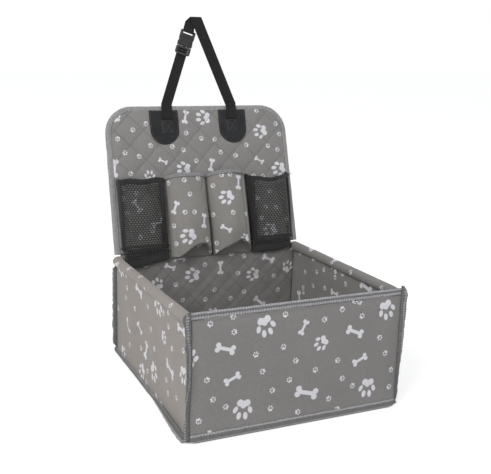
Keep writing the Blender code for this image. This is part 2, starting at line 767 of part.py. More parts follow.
def build_mesh_pockets(fold):
    half = NET_THICKNESS / 2
    surface = on_grid(mesh_point, NET_COLUMNS, NET_ROWS)
    for word, side, drop in (("left", -1, LEFT_HEM_DROP), ("right", 1, RIGHT_HEM_DROP)):
        bm = bmesh.new()
        bmesh.ops.create_grid(bm, x_segments=NET_COLUMNS, y_segments=NET_ROWS, size=0.5)
        out = bmesh.ops.inset_individual(bm, faces=bm.faces[:], thickness=NET_STRAND_SHARE / NET_COLUMNS)
        strands = set(out["faces"])
        bmesh.ops.delete(bm, geom=[f for f in bm.faces if f not in strands], context="FACES")
        give_thickness(
            bm,
            lambda u, v, side=side: surface(side, u, v, half),
            lambda u, v, side=side: surface(side, u, v, -half),
        )
        finish(bm, f"{word}_mesh_net", "net", fold)
        name = f"{word}_mesh_top_binding"
        pocket_binding(name, "black_binding", side, surface, half, NET_COLUMNS, fold)
        build_mesh_hem(word, side, drop, fold)


def build_mesh_hem(word, side, drop, fold):
    """The gathered foot of a mesh pocket, which hangs a little below the fold."""
    outer, inner = MESH_OUTER_X - 0.0065, MESH_INNER_X + 0.0020
    rings = []
    steps = 12
    for i in range(steps + 1):
        t = i / steps
        x = side * mix(inner, outer, t)
        pleat = 0.0008 * math.cos(math.pi * i)
        hang = drop * (0.75 + 0.25 * bump(t))
        top = POCKET_BOTTOM - GAP
        lean = 0.30 * hang
        rings.append([
            in_panel(x, POCKET_BASE + 0.0004, top), in_panel(x, POCKET_BASE + 0.0030 + pleat, top),
            in_panel(x, POCKET_BASE + 0.0036 + pleat + lean, top - hang * 0.93),
            in_panel(x, POCKET_BASE + 0.0026 + pleat + lean, top - hang),
            in_panel(x, POCKET_BASE + 0.0008 + lean, top - hang * 0.93),
        ])
    finish(sweep(rings), f"{word}_mesh_hem", "black_binding", fold)


def build_patch(word, centre, strap, fold):
    """A U-shaped leather tab with a slit: the webbing goes in and is sewn down under it."""
    half = PATCH_WIDTH / 2
    outline = [(centre + half, PATCH_TOP), (centre - half, PATCH_TOP)]
    steps = 14
    middle = PATCH_BOTTOM + half
    for i in range(steps + 1):
        angle = math.pi * (1 + i / steps)
        outline.append((centre + half * math.cos(angle), middle + half * math.sin(angle)))
    bm = plate(outline, PATCH_BASE, PATCH_BASE + LEATHER, lambda a, b, t: in_panel(a, t, b))
    item = finish(bm, f"{word}_strap_patch", "leather", fold)
    wide, tall = BLISTER_WIDTH / 2, BLISTER_UNDERSIDE + LEATHER
    raised = box(
        (strap - wide, -tall, BLISTER_BOTTOM), (strap + wide, -PATCH_BASE, SLOT_BOTTOM - GAP)
    )
    rim = [e for e in raised.edges if all(v.co.y < -tall + 1e-6 for v in e.verts)]
    bmesh.ops.bevel(raised, geom=rim, offset=0.0008, segments=1, profile=0.5, affect="EDGES", material=-1)
    cut(item, raised, f"{word}_blister", "UNION")
    web = WEBBING_WIDTH / 2 + 0.0005
    recess = box(
        (strap - web, -BLISTER_UNDERSIDE, BLISTER_BOTTOM + 0.0020),
        (strap + web, -PATCH_BASE + 0.0010, SLOT_BOTTOM + 0.0010),
    )
    cut(item, recess, f"{word}_recess")
    slit = box((strap - web, -0.03, SLOT_BOTTOM), (strap + web, -0.001, SLOT_TOP))
    cut(item, slit, f"{word}_slit")


def band(stations):
    """Webbing along stations of (left edge, right edge, direction and share of its thickness)."""
    rings = []
    for left, right, thick in stations:
        offset = Vector(thick) * WEBBING_HALF
        left, right = Vector(left), Vector(right)
        rings.append([left - offset, right - offset, right + offset, left + offset])
    return sweep(rings)


def build_strap_foot(word, x, fold):
    """Webbing from the panel's top edge, over the tab, through its slit and down under it."""
    half = WEBBING_WIDTH / 2
    route = [
        (FOOT_TOP, STRAP_N), (0.2898, STRAP_N), (0.2880, mix(STRAP_N, UNDER_N, 0.25)),
        (0.2860, mix(STRAP_N, UNDER_N, 0.75)), (0.2842, UNDER_N), (BLISTER_BOTTOM + 0.0024, UNDER_N),
    ]
    stations = []
    for i, (s, n) in enumerate(route):
        a, b = route[max(i - 1, 0)], route[min(i + 1, len(route) - 1)]
        along = Vector((0, -(b[1] - a[1]), b[0] - a[0]))
        thick = along.cross(Vector((1, 0, 0))).normalized()
        stations.append((in_panel(x - half, n, s), in_panel(x + half, n, s), thick))
    finish(band(stations), f"{word}_strap_foot", "webbing", fold)


# The strap and its buckle


def leg(side):
    """Foot, direction along and direction across of a leg of the strap."""
    angle = LEFT_ANGLE if side < 0 else RIGHT_ANGLE
    foot = Vector((STRAP_LEFT_X if side < 0 else STRAP_RIGHT_X, 0, 0))
    along = Vector((-side * math.sin(angle), 0, math.cos(angle)))
    return foot, along, Vector((along.z, 0, -along.x))


def leg_level(side, z):
    """Edge points of a leg where it is cut off level at a height."""
    foot, along, across = leg(side)
    edges = [foot + across * sign * WEBBING_WIDTH / 2 for sign in (-1, 1)]
    return [edge + along * ((z - edge.z) / along.z) for edge in edges]


def leg_across(side, distance):
    """Edge points square to a leg, at a distance along it."""
    foot, along, across = leg(side)
    return [foot + along * distance + across * sign * WEBBING_WIDTH / 2 for sign in (-1, 1)]


def leg_start(side):
    """The rounded lower end of a leg, round the line that it turns about."""
    toward = Vector((0, 1, 0))
    turns = [math.radians(angle) for angle in (-70, -35, 0)]
    return [(*leg_level(side, WEBBING_HALF * math.sin(t)), toward * math.cos(t)) for t in turns]


def build_strap_loop(hinge):
    """The right leg, its flat fold at the top and the short run that ends round the socket's bar."""
    toward, up = Vector((0, 1, 0)), Vector((0, 0, 1))
    stations = leg_start(1)
    stations.append((*leg_across(1, STRAP_RISE * 0.5), toward))
    fold = leg_level(1, STRAP_RISE)
    radius = FOLD_OFFSET / 2
    for i in range(5):
        angle = math.pi * i / 4
        shift = toward * radius * (1 - math.cos(angle)) + up * radius * math.sin(angle)
        thick = toward * math.cos(angle) - up * math.sin(angle)
        stations.append((*[edge + shift for edge in fold], thick))
    bar = BUCKLE_ALONG + SOCKET_LENGTH - BAR_RADIUS
    wrap = BAR_RADIUS + GAP + WEBBING_HALF
    along = leg(-1)[1]
    for distance, share in ((bar + 0.012, 0.6), (bar + 0.004, 0.15)):
        y = mix(BUCKLE_CENTRE_Y + wrap, FOLD_OFFSET, share)
        stations.append((*[edge + toward * y for edge in leg_across(-1, distance)], -toward))
    centre = leg_across(-1, bar)
    for i in range(7):
        angle = math.pi * i / 6
        shift = toward * (BUCKLE_CENTRE_Y + wrap * math.cos(angle)) - along * wrap * math.sin(angle)
        thick = -toward * math.cos(angle) + along * math.sin(angle)
        stations.append((*[edge + shift for edge in centre], thick))
    y = mix(BUCKLE_CENTRE_Y + wrap, FOLD_OFFSET, 0.4) - WEBBING_THICKNESS - GAP
    stations.append((*[edge + toward * y for edge in leg_across(-1, bar + 0.0085)], toward))
    finish(band(stations), "strap_loop", "webbing", hinge)


def build_left_leg(hinge):
    stations = leg_start(-1) + [(*leg_across(-1, BUCKLE_ALONG - 0.0006), (0, 1, 0))]
    finish(band(stations), "strap_left_leg", "webbing", hinge)


def buckle_frame():
    centre = sum(leg_across(-1, BUCKLE_ALONG), Vector()) / 2
    return {"location": centre, "rotation": (0, LEFT_ANGLE, 0)}


def build_socket(hinge):
    """The female half: a flat box with a mouth below, side windows and a webbing bar on top."""
    half, thick, mid = BUCKLE_WIDTH / 2, SOCKET_THICKNESS / 2, BUCKLE_CENTRE_Y
    low, high = (-half, mid - thick, GAP), (half, mid + thick, SOCKET_LENGTH)
    item = finish(
        rounded_box(low, high, 0.0022), "buckle_socket", "buckle", hinge, 40.0, **buckle_frame()
    )
    wide, deep = CAVITY_WIDTH / 2, CAVITY_THICKNESS / 2
    cut(item, box((-wide, mid - deep, -0.01), (wide, mid + deep, CAVITY_LENGTH)), "socket_cavity")
    for word, side in (("left", -1), ("right", 1)):
        inner, outer = sorted((side * (wide - 0.0010), side * (half + 0.01)))
        window = box((inner, mid - deep, WINDOW_START), (outer, mid + deep, WINDOW_END))
        cut(item, window, f"socket_{word}_window")
        scoop = bmesh.new()
        bmesh.ops.create_cone(
            scoop, cap_ends=True, segments=20, radius1=0.0105, radius2=0.0105, depth=0.05
        )
        for vert in scoop.verts:
            x, y, z = vert.co
            vert.co = Vector((side * (half + 0.0087) + x, z, (WINDOW_START + WINDOW_END) / 2 + y))
        cut(item, scoop, f"socket_{word}_scoop")
    opening = WEBBING_WIDTH / 2 + 0.0006
    low = SOCKET_LENGTH - 2 * BAR_RADIUS - SLOT_HEIGHT
    slot = box((-opening, mid - 0.02, low), (opening, mid + 0.02, SOCKET_LENGTH + 0.01))
    cut(item, slot, "socket_slot")
    bar = bmesh.new()
    bmesh.ops.create_cone(
        bar, cap_ends=True, segments=16, radius1=BAR_RADIUS, radius2=BAR_RADIUS,
        depth=2 * opening + 0.0020,
    )
    for vert in bar.verts:
        x, y, z = vert.co
        vert.co = Vector((z, mid + y, SOCKET_LENGTH - BAR_RADIUS + x))
    cut(item, bar, "socket_bar", "UNION")


def build_plug(release):
    """The male half: adjuster bars in front of the webbing, a guide tongue and two flexing prongs."""
    half, front = BUCKLE_WIDTH / 2, BUCKLE_CENTRE_Y - PLUG_THICKNESS / 2
    back = -WEBBING_THICKNESS / 2 - GAP
    thick = back - front
    outline = []
    corner = 0.0040
    for cx, cz, start in (
        (half - corner, -PLUG_BASE + corner, 270), (half - 0.0015, -0.0018, 0),
        (-half + 0.0015, -0.0018, 90), (-half + corner, -PLUG_BASE + corner, 180),
    ):
        radius = corner if cz < -0.005 else 0.0015
        for i in range(5):
            angle = math.radians(start + 22.5 * i)
            outline.append((cx + radius * math.cos(angle), cz + radius * math.sin(angle)))
    item = finish(
        plate(outline, front, back, lambda a, b, t: (a, t, b)), "buckle_plug", "buckle", release, 40.0
    )
    tongue = box(
        (-TONGUE_WIDTH / 2, front + 0.0006, -0.0030), (TONGUE_WIDTH / 2, back - 0.0002, TONGUE_LENGTH)
    )
    ends = [e for e in tongue.edges if all(v.co.z > 0 for v in e.verts)]
    bmesh.ops.bevel(tongue, geom=ends, offset=0.0010, segments=2, profile=0.5, affect="EDGES", material=-1)
    cut(item, tongue, "plug_tongue", "UNION")
    for word, side in (("left", -1), ("right", 1)):
        rail = rounded_box(
            (side * (half - 0.0018) - 0.0017, front, -PLUG_BASE + 0.0030),
            (side * (half - 0.0018) + 0.0017, -back + 0.0004, -0.0012), 0.0005, 1,
        )
        cut(item, rail, f"plug_{word}_rail", "UNION")
    opening = WEBBING_WIDTH / 2 + 0.0003
    for word, low, high in (("upper", -0.0078, -0.0046), ("lower", -0.0132, -0.0104)):
        cut(item, box((-opening, front - thick, low), (opening, back + thick, high)), f"plug_{word}_slot")


def build_prongs(release):
    """Two arms with hooked heads, each turning about its root as the moulding flexes."""
    front, back = BUCKLE_CENTRE_Y - PLUG_THICKNESS / 2 + 0.0005, -WEBBING_THICKNESS / 2 - GAP - 0.0002
    for word, side in (("left", -1), ("right", 1)):
        root = make_empty(f"{word}_prong_root", (side * PRONG_ROOT_X, BUCKLE_CENTRE_Y, 0), parent=release)
        half, reach = PRONG_WIDTH / 2, PRONG_REACH - PRONG_ROOT_X
        outline = [
            (-half, 0.0001), (half, 0.0001), (half, WINDOW_START + 0.0006), (reach * 0.82, WINDOW_START + 0.0006),
            (reach, WINDOW_START + 0.0022), (reach, WINDOW_START + 0.0050), (reach * 0.8, WINDOW_START + 0.0085),
            (half + 0.0012, PRONG_LENGTH - 0.0008), (half, PRONG_LENGTH), (-half * 0.2, PRONG_LENGTH),
            (-half, PRONG_LENGTH - 0.0018),
        ]
        points = [(side * a, b) for a, b in outline]
        shift = -BUCKLE_CENTRE_Y
        bm = plate(points, front + shift, back + shift, lambda a, b, t: (a, t, b))
        finish(bm, f"buckle_{word}_prong", "buckle", root, 40.0)


def main():
    clear_scene()
    build_base()
    build_front_panel()
    build_seam_bindings()
    build_bottom_bindings()
    for word, side, start in (("left", -1, LEFT_ROD_START), ("right", 1, RIGHT_ROD_START)):
        build_side_wall(word, side)
        build_sleeve(word, side, start)
        build_rod(word, side, start)
    build_back_wall()
    fold = make_empty("back_panel_fold", (0, FOLD_Y, FOLD_Z), (-LEAN, 0, 0))
    build_panel(fold)
    build_bottle_pockets(fold)
    build_mesh_pockets(fold)
    build_patch("left", PATCH_LEFT_X, STRAP_LEFT_X, fold)
    build_patch("right", PATCH_RIGHT_X, STRAP_RIGHT_X, fold)
    build_strap_foot("left", STRAP_LEFT_X, fold)
    build_strap_foot("right", STRAP_RIGHT_X, fold)
    pivot = in_panel(0, STRAP_N, STRAP_S)
    swing = make_empty("strap_swing", pivot, (LEAN, 0, 0), fold)
    left_swing = make_empty("left_strap_swing", pivot, (LEAN, 0, 0), fold)
    build_strap_loop(swing)
    build_socket(swing)
    build_left_leg(left_swing)
    frame = buckle_frame()
    release = make_empty("buckle_release", frame["location"], frame["rotation"], left_swing)
    build_plug(release)
    build_prongs(release)
    bpy.context.view_layer.update()


main()
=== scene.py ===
import math

import bmesh
import bpy
from mathutils import Matrix, Vector, noise


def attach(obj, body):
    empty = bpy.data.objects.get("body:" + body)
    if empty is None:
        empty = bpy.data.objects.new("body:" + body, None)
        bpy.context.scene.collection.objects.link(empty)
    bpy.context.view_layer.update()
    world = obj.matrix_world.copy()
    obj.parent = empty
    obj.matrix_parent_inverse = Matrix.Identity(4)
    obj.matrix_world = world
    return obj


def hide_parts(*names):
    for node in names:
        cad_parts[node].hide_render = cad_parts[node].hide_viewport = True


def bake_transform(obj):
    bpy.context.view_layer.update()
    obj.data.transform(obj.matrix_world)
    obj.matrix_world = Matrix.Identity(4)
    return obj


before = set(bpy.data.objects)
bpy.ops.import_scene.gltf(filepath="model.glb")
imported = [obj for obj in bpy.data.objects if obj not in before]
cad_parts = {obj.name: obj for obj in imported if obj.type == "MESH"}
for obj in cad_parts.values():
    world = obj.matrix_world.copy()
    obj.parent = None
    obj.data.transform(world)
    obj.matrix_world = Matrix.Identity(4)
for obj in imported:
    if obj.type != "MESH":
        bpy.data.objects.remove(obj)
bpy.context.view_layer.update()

# Sizes of the bag, in metres, the same as in its solids
SIDE_FLOOR, SIDE_RIM = 0.2165, 0.2190
FRONT_FLOOR, FRONT_TOP, FRONT_HEIGHT = -0.2300, -0.2180, 0.2400
FRONT_THICK = 0.0066
BACK_Y = 0.2280
BACK_FACE_Y = 0.2190
BASE_HALF, BASE_FRONT, BASE_REAR = 0.2170, -0.2340, 0.2278
HEM_RADIUS = 0.0102
COVER_EDGE = 0.0033
FOOT_SWELL = 0.0040
ROD_FRONT, ROD_REAR = (-0.2125, 0.2275), (0.2175, 0.2115)
LEAN = math.radians(17.5)
FOLD_Y, FOLD_Z = 0.2235, 0.2275
PANEL_LENGTH, PANEL_CORNER = 0.3220, 0.0630
SHOULDER = PANEL_LENGTH - PANEL_CORNER
PANEL_HALF_FOLD, PANEL_HALF_TOP = 0.2245, 0.2215
DIAMOND = 0.0670
WALL_STEP = 0.1985
POCKET_BASE, POCKET_TOP, POCKET_SEAM = 0.0063, 0.1600, -0.0222
BOTTLE_CENTRE, BOTTLE_HALF, BOTTLE_CLOTH = 0.0495, 0.0465, 0.1255
NET_CENTRE, NET_HALF, NET_WIDE, NET_TALL = 0.1550, 0.0524, 0.122, 0.155
NET_FOOT_IN, NET_FOOT_OUT = 0.1035, 0.2030
TAPE_TAIL = 0.0030
CLOTH = 0.0013
WEBBING, WEBBING_HALF_THICK, BAR_RADIUS = 0.0250, 0.00065, 0.0017
CROSS_S, CROSS_WIDE, CROSS_TALL = 0.2740, 0.0104, 0.0138
STRAP_N, STRAP_S, STRAP_RISE = 0.00885, 0.3232, 0.1925
LEFT_FOOT, RIGHT_FOOT, APEX = -0.0775, 0.0805, -0.0110
LEFT_SLOPE = 0.3030
BUCKLE_ALONG, BUCKLE_Y, SOCKET = 0.1345, -0.0026, 0.0360


def mix(a, b, t):
    return a + (b - a) * t


def ease(t):
    t = min(max(t, 0.0), 1.0)
    return t * t * (3 - 2 * t)


def hump(t):
    return math.sin(math.pi * min(max(t, 0.0), 1.0))


def ripple(*at):
    return noise.noise(Vector((*at, 0.0, 0.0)[:3]))


def ridge(offset, half):
    """1 on a line, and next to nothing twice that half further off."""
    return math.exp(-((offset / half) ** 2))


def signed(value, power):
    """A power that keeps the sign."""
    return math.copysign(abs(value) ** power, value)


def dim(colour, share):
    """A colour made darker, or lighter by a share over 1."""
    return [share * c for c in colour]


def rod_z(y):
    """Height of the support tubes' middle line."""
    return mix(ROD_FRONT[1], ROD_REAR[1], (y - ROD_FRONT[0]) / (ROD_REAR[0] - ROD_FRONT[0]))


def side_x(z):
    """How far out the side walls stand."""
    return mix(SIDE_FLOOR, SIDE_RIM, min(z / ROD_REAR[1], 1.0))


def front_y(z):
    return mix(FRONT_FLOOR, FRONT_TOP, z / FRONT_HEIGHT)


def front_half(z):
    """Half width of the front."""
    return mix(SIDE_FLOOR + 0.0011, SIDE_RIM + 0.0010, z / FRONT_HEIGHT)


def between(z, table):
    """The value at a height, from a table of (height, value)."""
    for (low, a), (high, b) in zip(table, table[1:]):
        if z <= high:
            return mix(a, b, max(z - low, 0.0) / (high - low))
    return table[-1][1]


# How far the front corners lie outside the straight side, and how far their seams reach out
LEFT_CORNER = (
    (0.008, 0.0050), (0.057, 0.0036), (0.084, 0.0019), (0.110, -0.0003), (0.140, -0.0013),
    (0.189, -0.0017), (0.241, -0.0013),
)
LEFT_TIP = (
    (0.008, 0.0171), (0.029, 0.0144), (0.057, 0.0114), (0.110, 0.0081), (0.140, 0.0066), (0.165, 0.0070),
    (0.190, 0.0081), (0.215, 0.0106), (0.241, 0.0147),
)
RIGHT_CORNER = (
    (0.008, -0.0046), (0.017, -0.0040), (0.032, -0.0028), (0.074, -0.0015), (0.156, -0.0007),
    (0.237, 0.0001),
)
RIGHT_TIP = (
    (0.010, 0.0000), (0.017, 0.0012), (0.032, 0.0037), (0.074, 0.0055), (0.115, 0.0082), (0.156, 0.0095),
    (0.197, 0.0114), (0.245, 0.0118),
)


def foot_swell(z):
    """How far the front stands forward near the floor, over its bottom seam."""
    return FOOT_SWELL * (1 - ease(z / 0.05))


def on_panel(x, n, s):
    """A point of the leaning back panel: across, out of its front face, up from the fold."""
    sin, cos = math.sin(LEAN), math.cos(LEAN)
    return Vector((x, FOLD_Y + s * sin - n * cos, FOLD_Z + s * cos + n * sin))


PANEL_UP = on_panel(0, 0, 1) - on_panel(0, 0, 0)
PANEL_OUT = on_panel(0, 1, 0) - on_panel(0, 0, 0)
ACROSS, BACK, UP = Vector((1, 0, 0)), Vector((0, 1, 0)), Vector((0, 0, 1))


def quilt_puff(x, s):
    """1 in the middle of the quilt's diamonds, 0 on the stitches round them."""
    a = math.sin(math.pi * (x + s) / DIAMOND)
    b = math.sin(math.pi * (x - s) / DIAMOND)
    return min(1.0, 1.2 * abs(a * b) ** 0.55)


# Finishes


class Value:
    """A socket of a finish. Arithmetic on it adds Math nodes."""

    def __init__(self, finish, socket):
        self.finish = finish
        self.socket = socket

    def math(self, operation, *others):
        inputs = dict(enumerate((self, *others)))
        return self.finish.node("ShaderNodeMath", {"operation": operation}, inputs)

    def __add__(self, other):
        return self.math("ADD", other)

    def __sub__(self, other):
        return self.math("SUBTRACT", other)

    def __mul__(self, other):
        return self.math("MULTIPLY", other)

    def __truediv__(self, other):
        return self.math("DIVIDE", other)

    def __abs__(self):
        return self.math("ABSOLUTE")

    def __lt__(self, other):
        return self.math("LESS_THAN", other)

    def __gt__(self, other):
        return self.math("GREATER_THAN", other)

class Finish:
    """A material, with helpers for its nodes."""

    def __init__(self, name, **constants):
        self.material = bpy.data.materials.new(name)
        self.material.use_nodes = True
        self.tree = self.material.node_tree
        self.tree.nodes.clear()
        out = self.tree.nodes.new("ShaderNodeOutputMaterial")
        self.shader = self.tree.nodes.new("ShaderNodeBsdfPrincipled")
        self.tree.links.new(self.shader.outputs[0], out.inputs[0])
        self.set(**constants)

    def node(self, kind, settings=(), inputs=(), output=0):
        node = self.tree.nodes.new(kind)
        for key, value in dict(settings).items():
            setattr(node, key, value)
        for key, value in dict(inputs).items():
            self.join(node.inputs[key], value)
        return Value(self, node.outputs[output])

    def join(self, socket, value):
        if isinstance(value, Value):
            self.tree.links.new(value.socket, socket)
        elif socket.type == "RGBA" and len(value) == 3:
            socket.default_value = (*value, 1.0)
        else:
            socket.default_value = value

    def set(self, **inputs):
        for key, value in inputs.items():
            self.join(self.shader.inputs[key.replace("_", " ")], value)
        return self

    def flat(self):
        return self.node("ShaderNodeUVMap", {"uv_map": "flat"})

    def place(self):
        return self.node("ShaderNodeTexCoord", output=3)

    def parts(self, vector):
        node = self.tree.nodes.new("ShaderNodeSeparateXYZ")
        self.join(node.inputs[0], vector)
        return [Value(self, out) for out in node.outputs]

    def combine(self, x, y, z=0.0):
        return self.node("ShaderNodeCombineXYZ", inputs={0: x, 1: y, 2: z})

    def vector(self, operation, *values, output=0):
        settings = {"operation": operation}
        return self.node("ShaderNodeVectorMath", settings, dict(enumerate(values)), output)

    def seen_from(self, point, place=(0, 0, 0), turn=0.0, size=(1, 1, 1)):
        """The point in the measure of something that lies at place, turned and of that size."""
        inputs = {"Vector": point, "Location": place, "Rotation": (0, 0, turn), "Scale": size}
        return self.node("ShaderNodeMapping", {"vector_type": "TEXTURE"}, inputs)

    def mix(self, share, a, b):
        return self.node("ShaderNodeMix", {"data_type": "RGBA"}, {0: share, 6: a, 7: b}, 2)

    def ramp(self, value, low, high, first=0.0, last=1.0):
        inputs = {0: value, 1: low, 2: high, 3: first, 4: last}
        return self.node("ShaderNodeMapRange", {"interpolation_type": "SMOOTHSTEP"}, inputs)

    def band(self, value, centre, half, soft):
        """1 within half of the centre, and 0 further out than that plus soft."""
        return self.ramp(abs(value - centre), half + soft, half)

    def noise(self, vector, scale, detail=3.0, rough=0.5):
        inputs = {"Vector": vector, "Scale": scale, "Detail": detail, "Roughness": rough}
        return self.node("ShaderNodeTexNoise", {}, inputs)

    def cells(self, vector, scale):
        return self.node("ShaderNodeTexVoronoi", {"feature": "F1"}, {"Vector": vector, "Scale": scale})

    def bump(self, height, distance):
        inputs = {"Height": height, "Distance": distance, "Strength": 1.0}
        return self.set(Normal=self.node("ShaderNodeBump", {}, inputs))

    def stitches(self, along, across, centre, pitch=0.0032, share=0.62, half=0.00035):
        """Thread dashes along a seam line."""
        beat = (along / pitch).math("FRACT")
        dash = self.ramp(abs(beat - 0.5), 0.5 * share + 0.06, 0.5 * share - 0.06)
        return dash * self.band(across, centre, half, 0.00025)


def oval(f, point, x, y, a, b, turn=0.0):
    """How far a point lies outside an oval, less than 0 inside it."""
    local = f.seen_from(point, (x, y, 0), math.radians(turn), (a, b, 1))
    return (f.vector("LENGTH", local, output=1) - 1) * min(a, b)


def paw_print(f, local):
    x, y, _ = f.parts(local)
    half = f.combine(x, abs(y))
    pad = oval(f, half, -0.300, 0.185, 0.165, 0.150, 20)
    pad = pad.math("SMOOTH_MIN", oval(f, half, -0.215, 0.0, 0.185, 0.150), 0.07)
    toes = oval(f, half, 0.315, 0.165, 0.170, 0.108, 8)
    toes = toes.math("MINIMUM", oval(f, half, 0.030, 0.370, 0.165, 0.106, 24))
    return pad.math("MINIMUM", toes)


def bone_print(f, local):
    x, y, _ = f.parts(local)
    corner = f.combine(abs(x), abs(y))
    knob = oval(f, corner, 0.385, 0.115, 0.125, 0.118)
    shaft = (abs(x) - 0.40).math("MAXIMUM", abs(y) - 0.082)
    return knob.math("SMOOTH_MIN", shaft, 0.05)


BONE_MARK = 100.0
SMALL_PAW = 11.8


def figures(f):
    """Mask of the pattern, drawn in the measure of the figure that each face lies nearest."""
    x, y, _ = f.parts(f.node("ShaderNodeUVMap", {"uv_map": "figure"}))
    bone = x > 0.5 * BONE_MARK
    local = f.combine(x - bone * BONE_MARK, y)
    paw = paw_print(f, local)
    return f.ramp(paw + (bone_print(f, local) - paw) * bone, 0.020, -0.014)


GREY = (0.262, 0.256, 0.249)
PRINT = (0.700, 0.695, 0.740)
THREAD = (0.115, 0.112, 0.108)


def weave(f, point, size=0.0011):
    """Height of a plain weave: warp and weft threads that pass over each other."""
    x, y, _ = f.parts(f.vector("MULTIPLY", point, (math.pi / size,) * 3))
    return x.math("SINE") * y.math("SINE")


def printed_cloth(name, quilted=False, painted_light_tint=(1, 1, 1)):
    """Woven polyester with its pattern, made lighter or darker piece by piece as painted light and shade,
    and stitched diamonds, with painted shade along their grooves, where it is quilted.
    """
    f = Finish(name, Roughness=0.74, Sheen_Weight=0.14, Sheen_Roughness=0.45)
    point = f.flat()
    x, y, _ = f.parts(point)
    large = figures(f)
    cloud = f.noise(point, 9.0, 4.0)
    mottle = f.noise(point, 120.0, 3.0, 0.6)
    slub = f.noise(f.vector("MULTIPLY", point, (140, 900, 1)), 1.0, 2.0)
    speck = f.noise(point, 400.0, 2.0, 0.7)
    # The grey is scaled piece by piece: painted light and shade that make one cloth lighter or darker as
    # the light falls on it.
    grey = [a * b for a, b in zip(GREY, painted_light_tint)]
    # The broad cloud varies the tone at random, and partly stands in as painted shade of soft folds.
    light = f.mix(cloud, dim(grey, 0.83), dim(grey, 1.17))
    cloth = f.mix(f.ramp(slub, 0.38, 0.62) * 0.22, light, dim(grey, 0.80))
    cloth = f.mix(f.ramp(mottle, 0.30, 0.70) * 0.50, cloth, dim(grey, 0.84))
    cloth = f.mix(f.ramp(speck, 0.40, 0.60) * 0.45, cloth, dim(grey, 0.66))
    worn = f.noise(point, 260.0, 2.0)
    ink = f.mix(f.ramp(worn, 0.3, 0.75) * 0.25, PRINT, dim(PRINT, 0.82))
    colour = f.mix(large, cloth, ink)
    height = weave(f, point) * 0.30 + slub * 0.5 + speck * 0.3 + large * 0.35
    if quilted:
        for line, along in ((x + y, x - y), (x - y, x + y)):
            turns = line / DIAMOND
            off = abs(turns - turns.math("ROUND")) * (DIAMOND / math.sqrt(2))
            dash = f.stitches(along / math.sqrt(2), off, 0.0)
            shaded_groove = f.band(off, 0.0, 0.0004, 0.0022)
            # Painted shade: the cloth is darkened a little way to each side of each stitch line, as in the
            # quilt's hollows.
            colour = f.mix(shaded_groove * 0.10, colour, dim(grey, 0.45))
            colour = f.mix(dash * 0.35, colour, THREAD)
            height = height - shaded_groove * 1.2 + dash * 1.0
    f.set(Base_Color=colour, Roughness=f.ramp(large, 0.0, 1.0, 0.76, 0.60))
    return f.bump(height, 0.00035)


def plain_cloth(name, colour):
    f = Finish(name, Roughness=0.80, Sheen_Weight=0.15)
    point = f.flat()
    cloud = f.noise(point, 12.0, 4.0)
    threads = weave(f, point, 0.0013)
    slub = f.noise(f.vector("MULTIPLY", point, (900, 120, 1)), 1.0, 2.0)
    shade = f.mix(cloud, dim(colour, 0.90), dim(colour, 1.08))
    f.set(Base_Color=f.mix(f.ramp(slub, 0.4, 0.65) * 0.25, shade, dim(colour, 0.7)))
    return f.bump(threads * 0.4 + slub * 0.6, 0.0004)


def tape(name, colour, thread=None, rows=(), dense=(), dark=()):
    """Ribbed binding tape along X of its flat layout; rows are stitch lines, dense are bands
    (centre, half) of close cross stitches, and dark are bands in the seam's shadow."""
    f = Finish(name, Roughness=0.82, Sheen_Weight=0.12)
    point = f.flat()
    x, y, _ = f.parts(point)
    thread = thread or [min(1.9 * c, 0.62) for c in colour]
    wobble = f.noise(f.vector("MULTIPLY", point, (60, 60, 1)), 1.0, 2.0)
    rib = 0.0012
    ribs = ((x + wobble * rib) * (2 * math.pi / rib)).math("SINE")
    fuzz = f.noise(f.vector("MULTIPLY", point, (700, 1600, 1)), 1.0, 3.0)
    patch = f.noise(point, 38.0, 3.0, 0.6)
    speck = f.noise(f.vector("MULTIPLY", point, (240, 330, 1)), 1.0, 2.0, 0.6)
    shade = f.mix(patch, dim(colour, 0.84), dim(colour, 1.14))
    shade = f.mix(f.ramp(ribs, 0.2, -0.9) * 0.30, shade, dim(colour, 0.62))
    shade = f.mix(f.ramp(fuzz, 0.45, 0.75) * 0.25, shade, dim(colour, 1.35))
    shade = f.mix(f.ramp(speck, 0.50, 0.60) * 0.55, shade, dim(colour, 0.50))
    height = ribs * 0.45 + fuzz * 0.7 + patch * 0.8 - f.ramp(speck, 0.50, 0.62) * 0.6
    for centre, half in dark:
        shade = f.mix(f.band(y, centre, half, 0.0010) * 0.55, shade, dim(colour, 0.40))
    for place in rows:
        dash = f.stitches(x, y + (wobble - 0.5) * 0.0006, place, 0.0030, 0.66, 0.0004)
        shade = f.mix(dash * 0.85, shade, thread)
        height = height + dash * 1.4 - f.band(y, place, 0.0004, 0.0010) * 0.8
    for centre, half in dense:
        beat = ((x + (wobble - 0.5) * 0.0040) / 0.0052).math("FRACT")
        line = f.band(y + (wobble - 0.5) * 0.0022, centre, half, 0.0007)
        bar = f.ramp(abs(beat - 0.5), 0.30, 0.20) * line
        shade = f.mix(line * 0.18 + bar * 0.55, shade, thread)
        height = height + bar * 1.6
    f.set(Base_Color=shade)
    return f.bump(height, 0.00045)


def net(name):
    """Knitted net: rows of staggered holes between strands, closed where "band" is 1."""
    f = Finish(name, Roughness=0.72)
    point = f.flat()
    x, y, _ = f.parts(f.vector("MULTIPLY", point, (1 / 0.0054, 1 / 0.0048, 1)))
    row = y.math("FLOOR")
    shifted = x + (row * 0.5).math("FRACT")
    local = f.combine(shifted.math("FRACT") - 0.5, y.math("FRACT") - 0.5)
    hole = oval(f, local, 0, 0, 0.40, 0.41)
    band = f.node("ShaderNodeAttribute", {"attribute_name": "band"}, output=2)
    strand = f.ramp(hole, -0.05, 0.02).math("MAXIMUM", f.ramp(band, 0.4, 0.6))
    fuzz = f.noise(point, 900.0, 2.0)
    f.set(Base_Color=f.mix(fuzz, (0.012, 0.012, 0.012), (0.038, 0.038, 0.037)), Alpha=strand)
    return f.bump(fuzz + hole * 2.0, 0.0004)


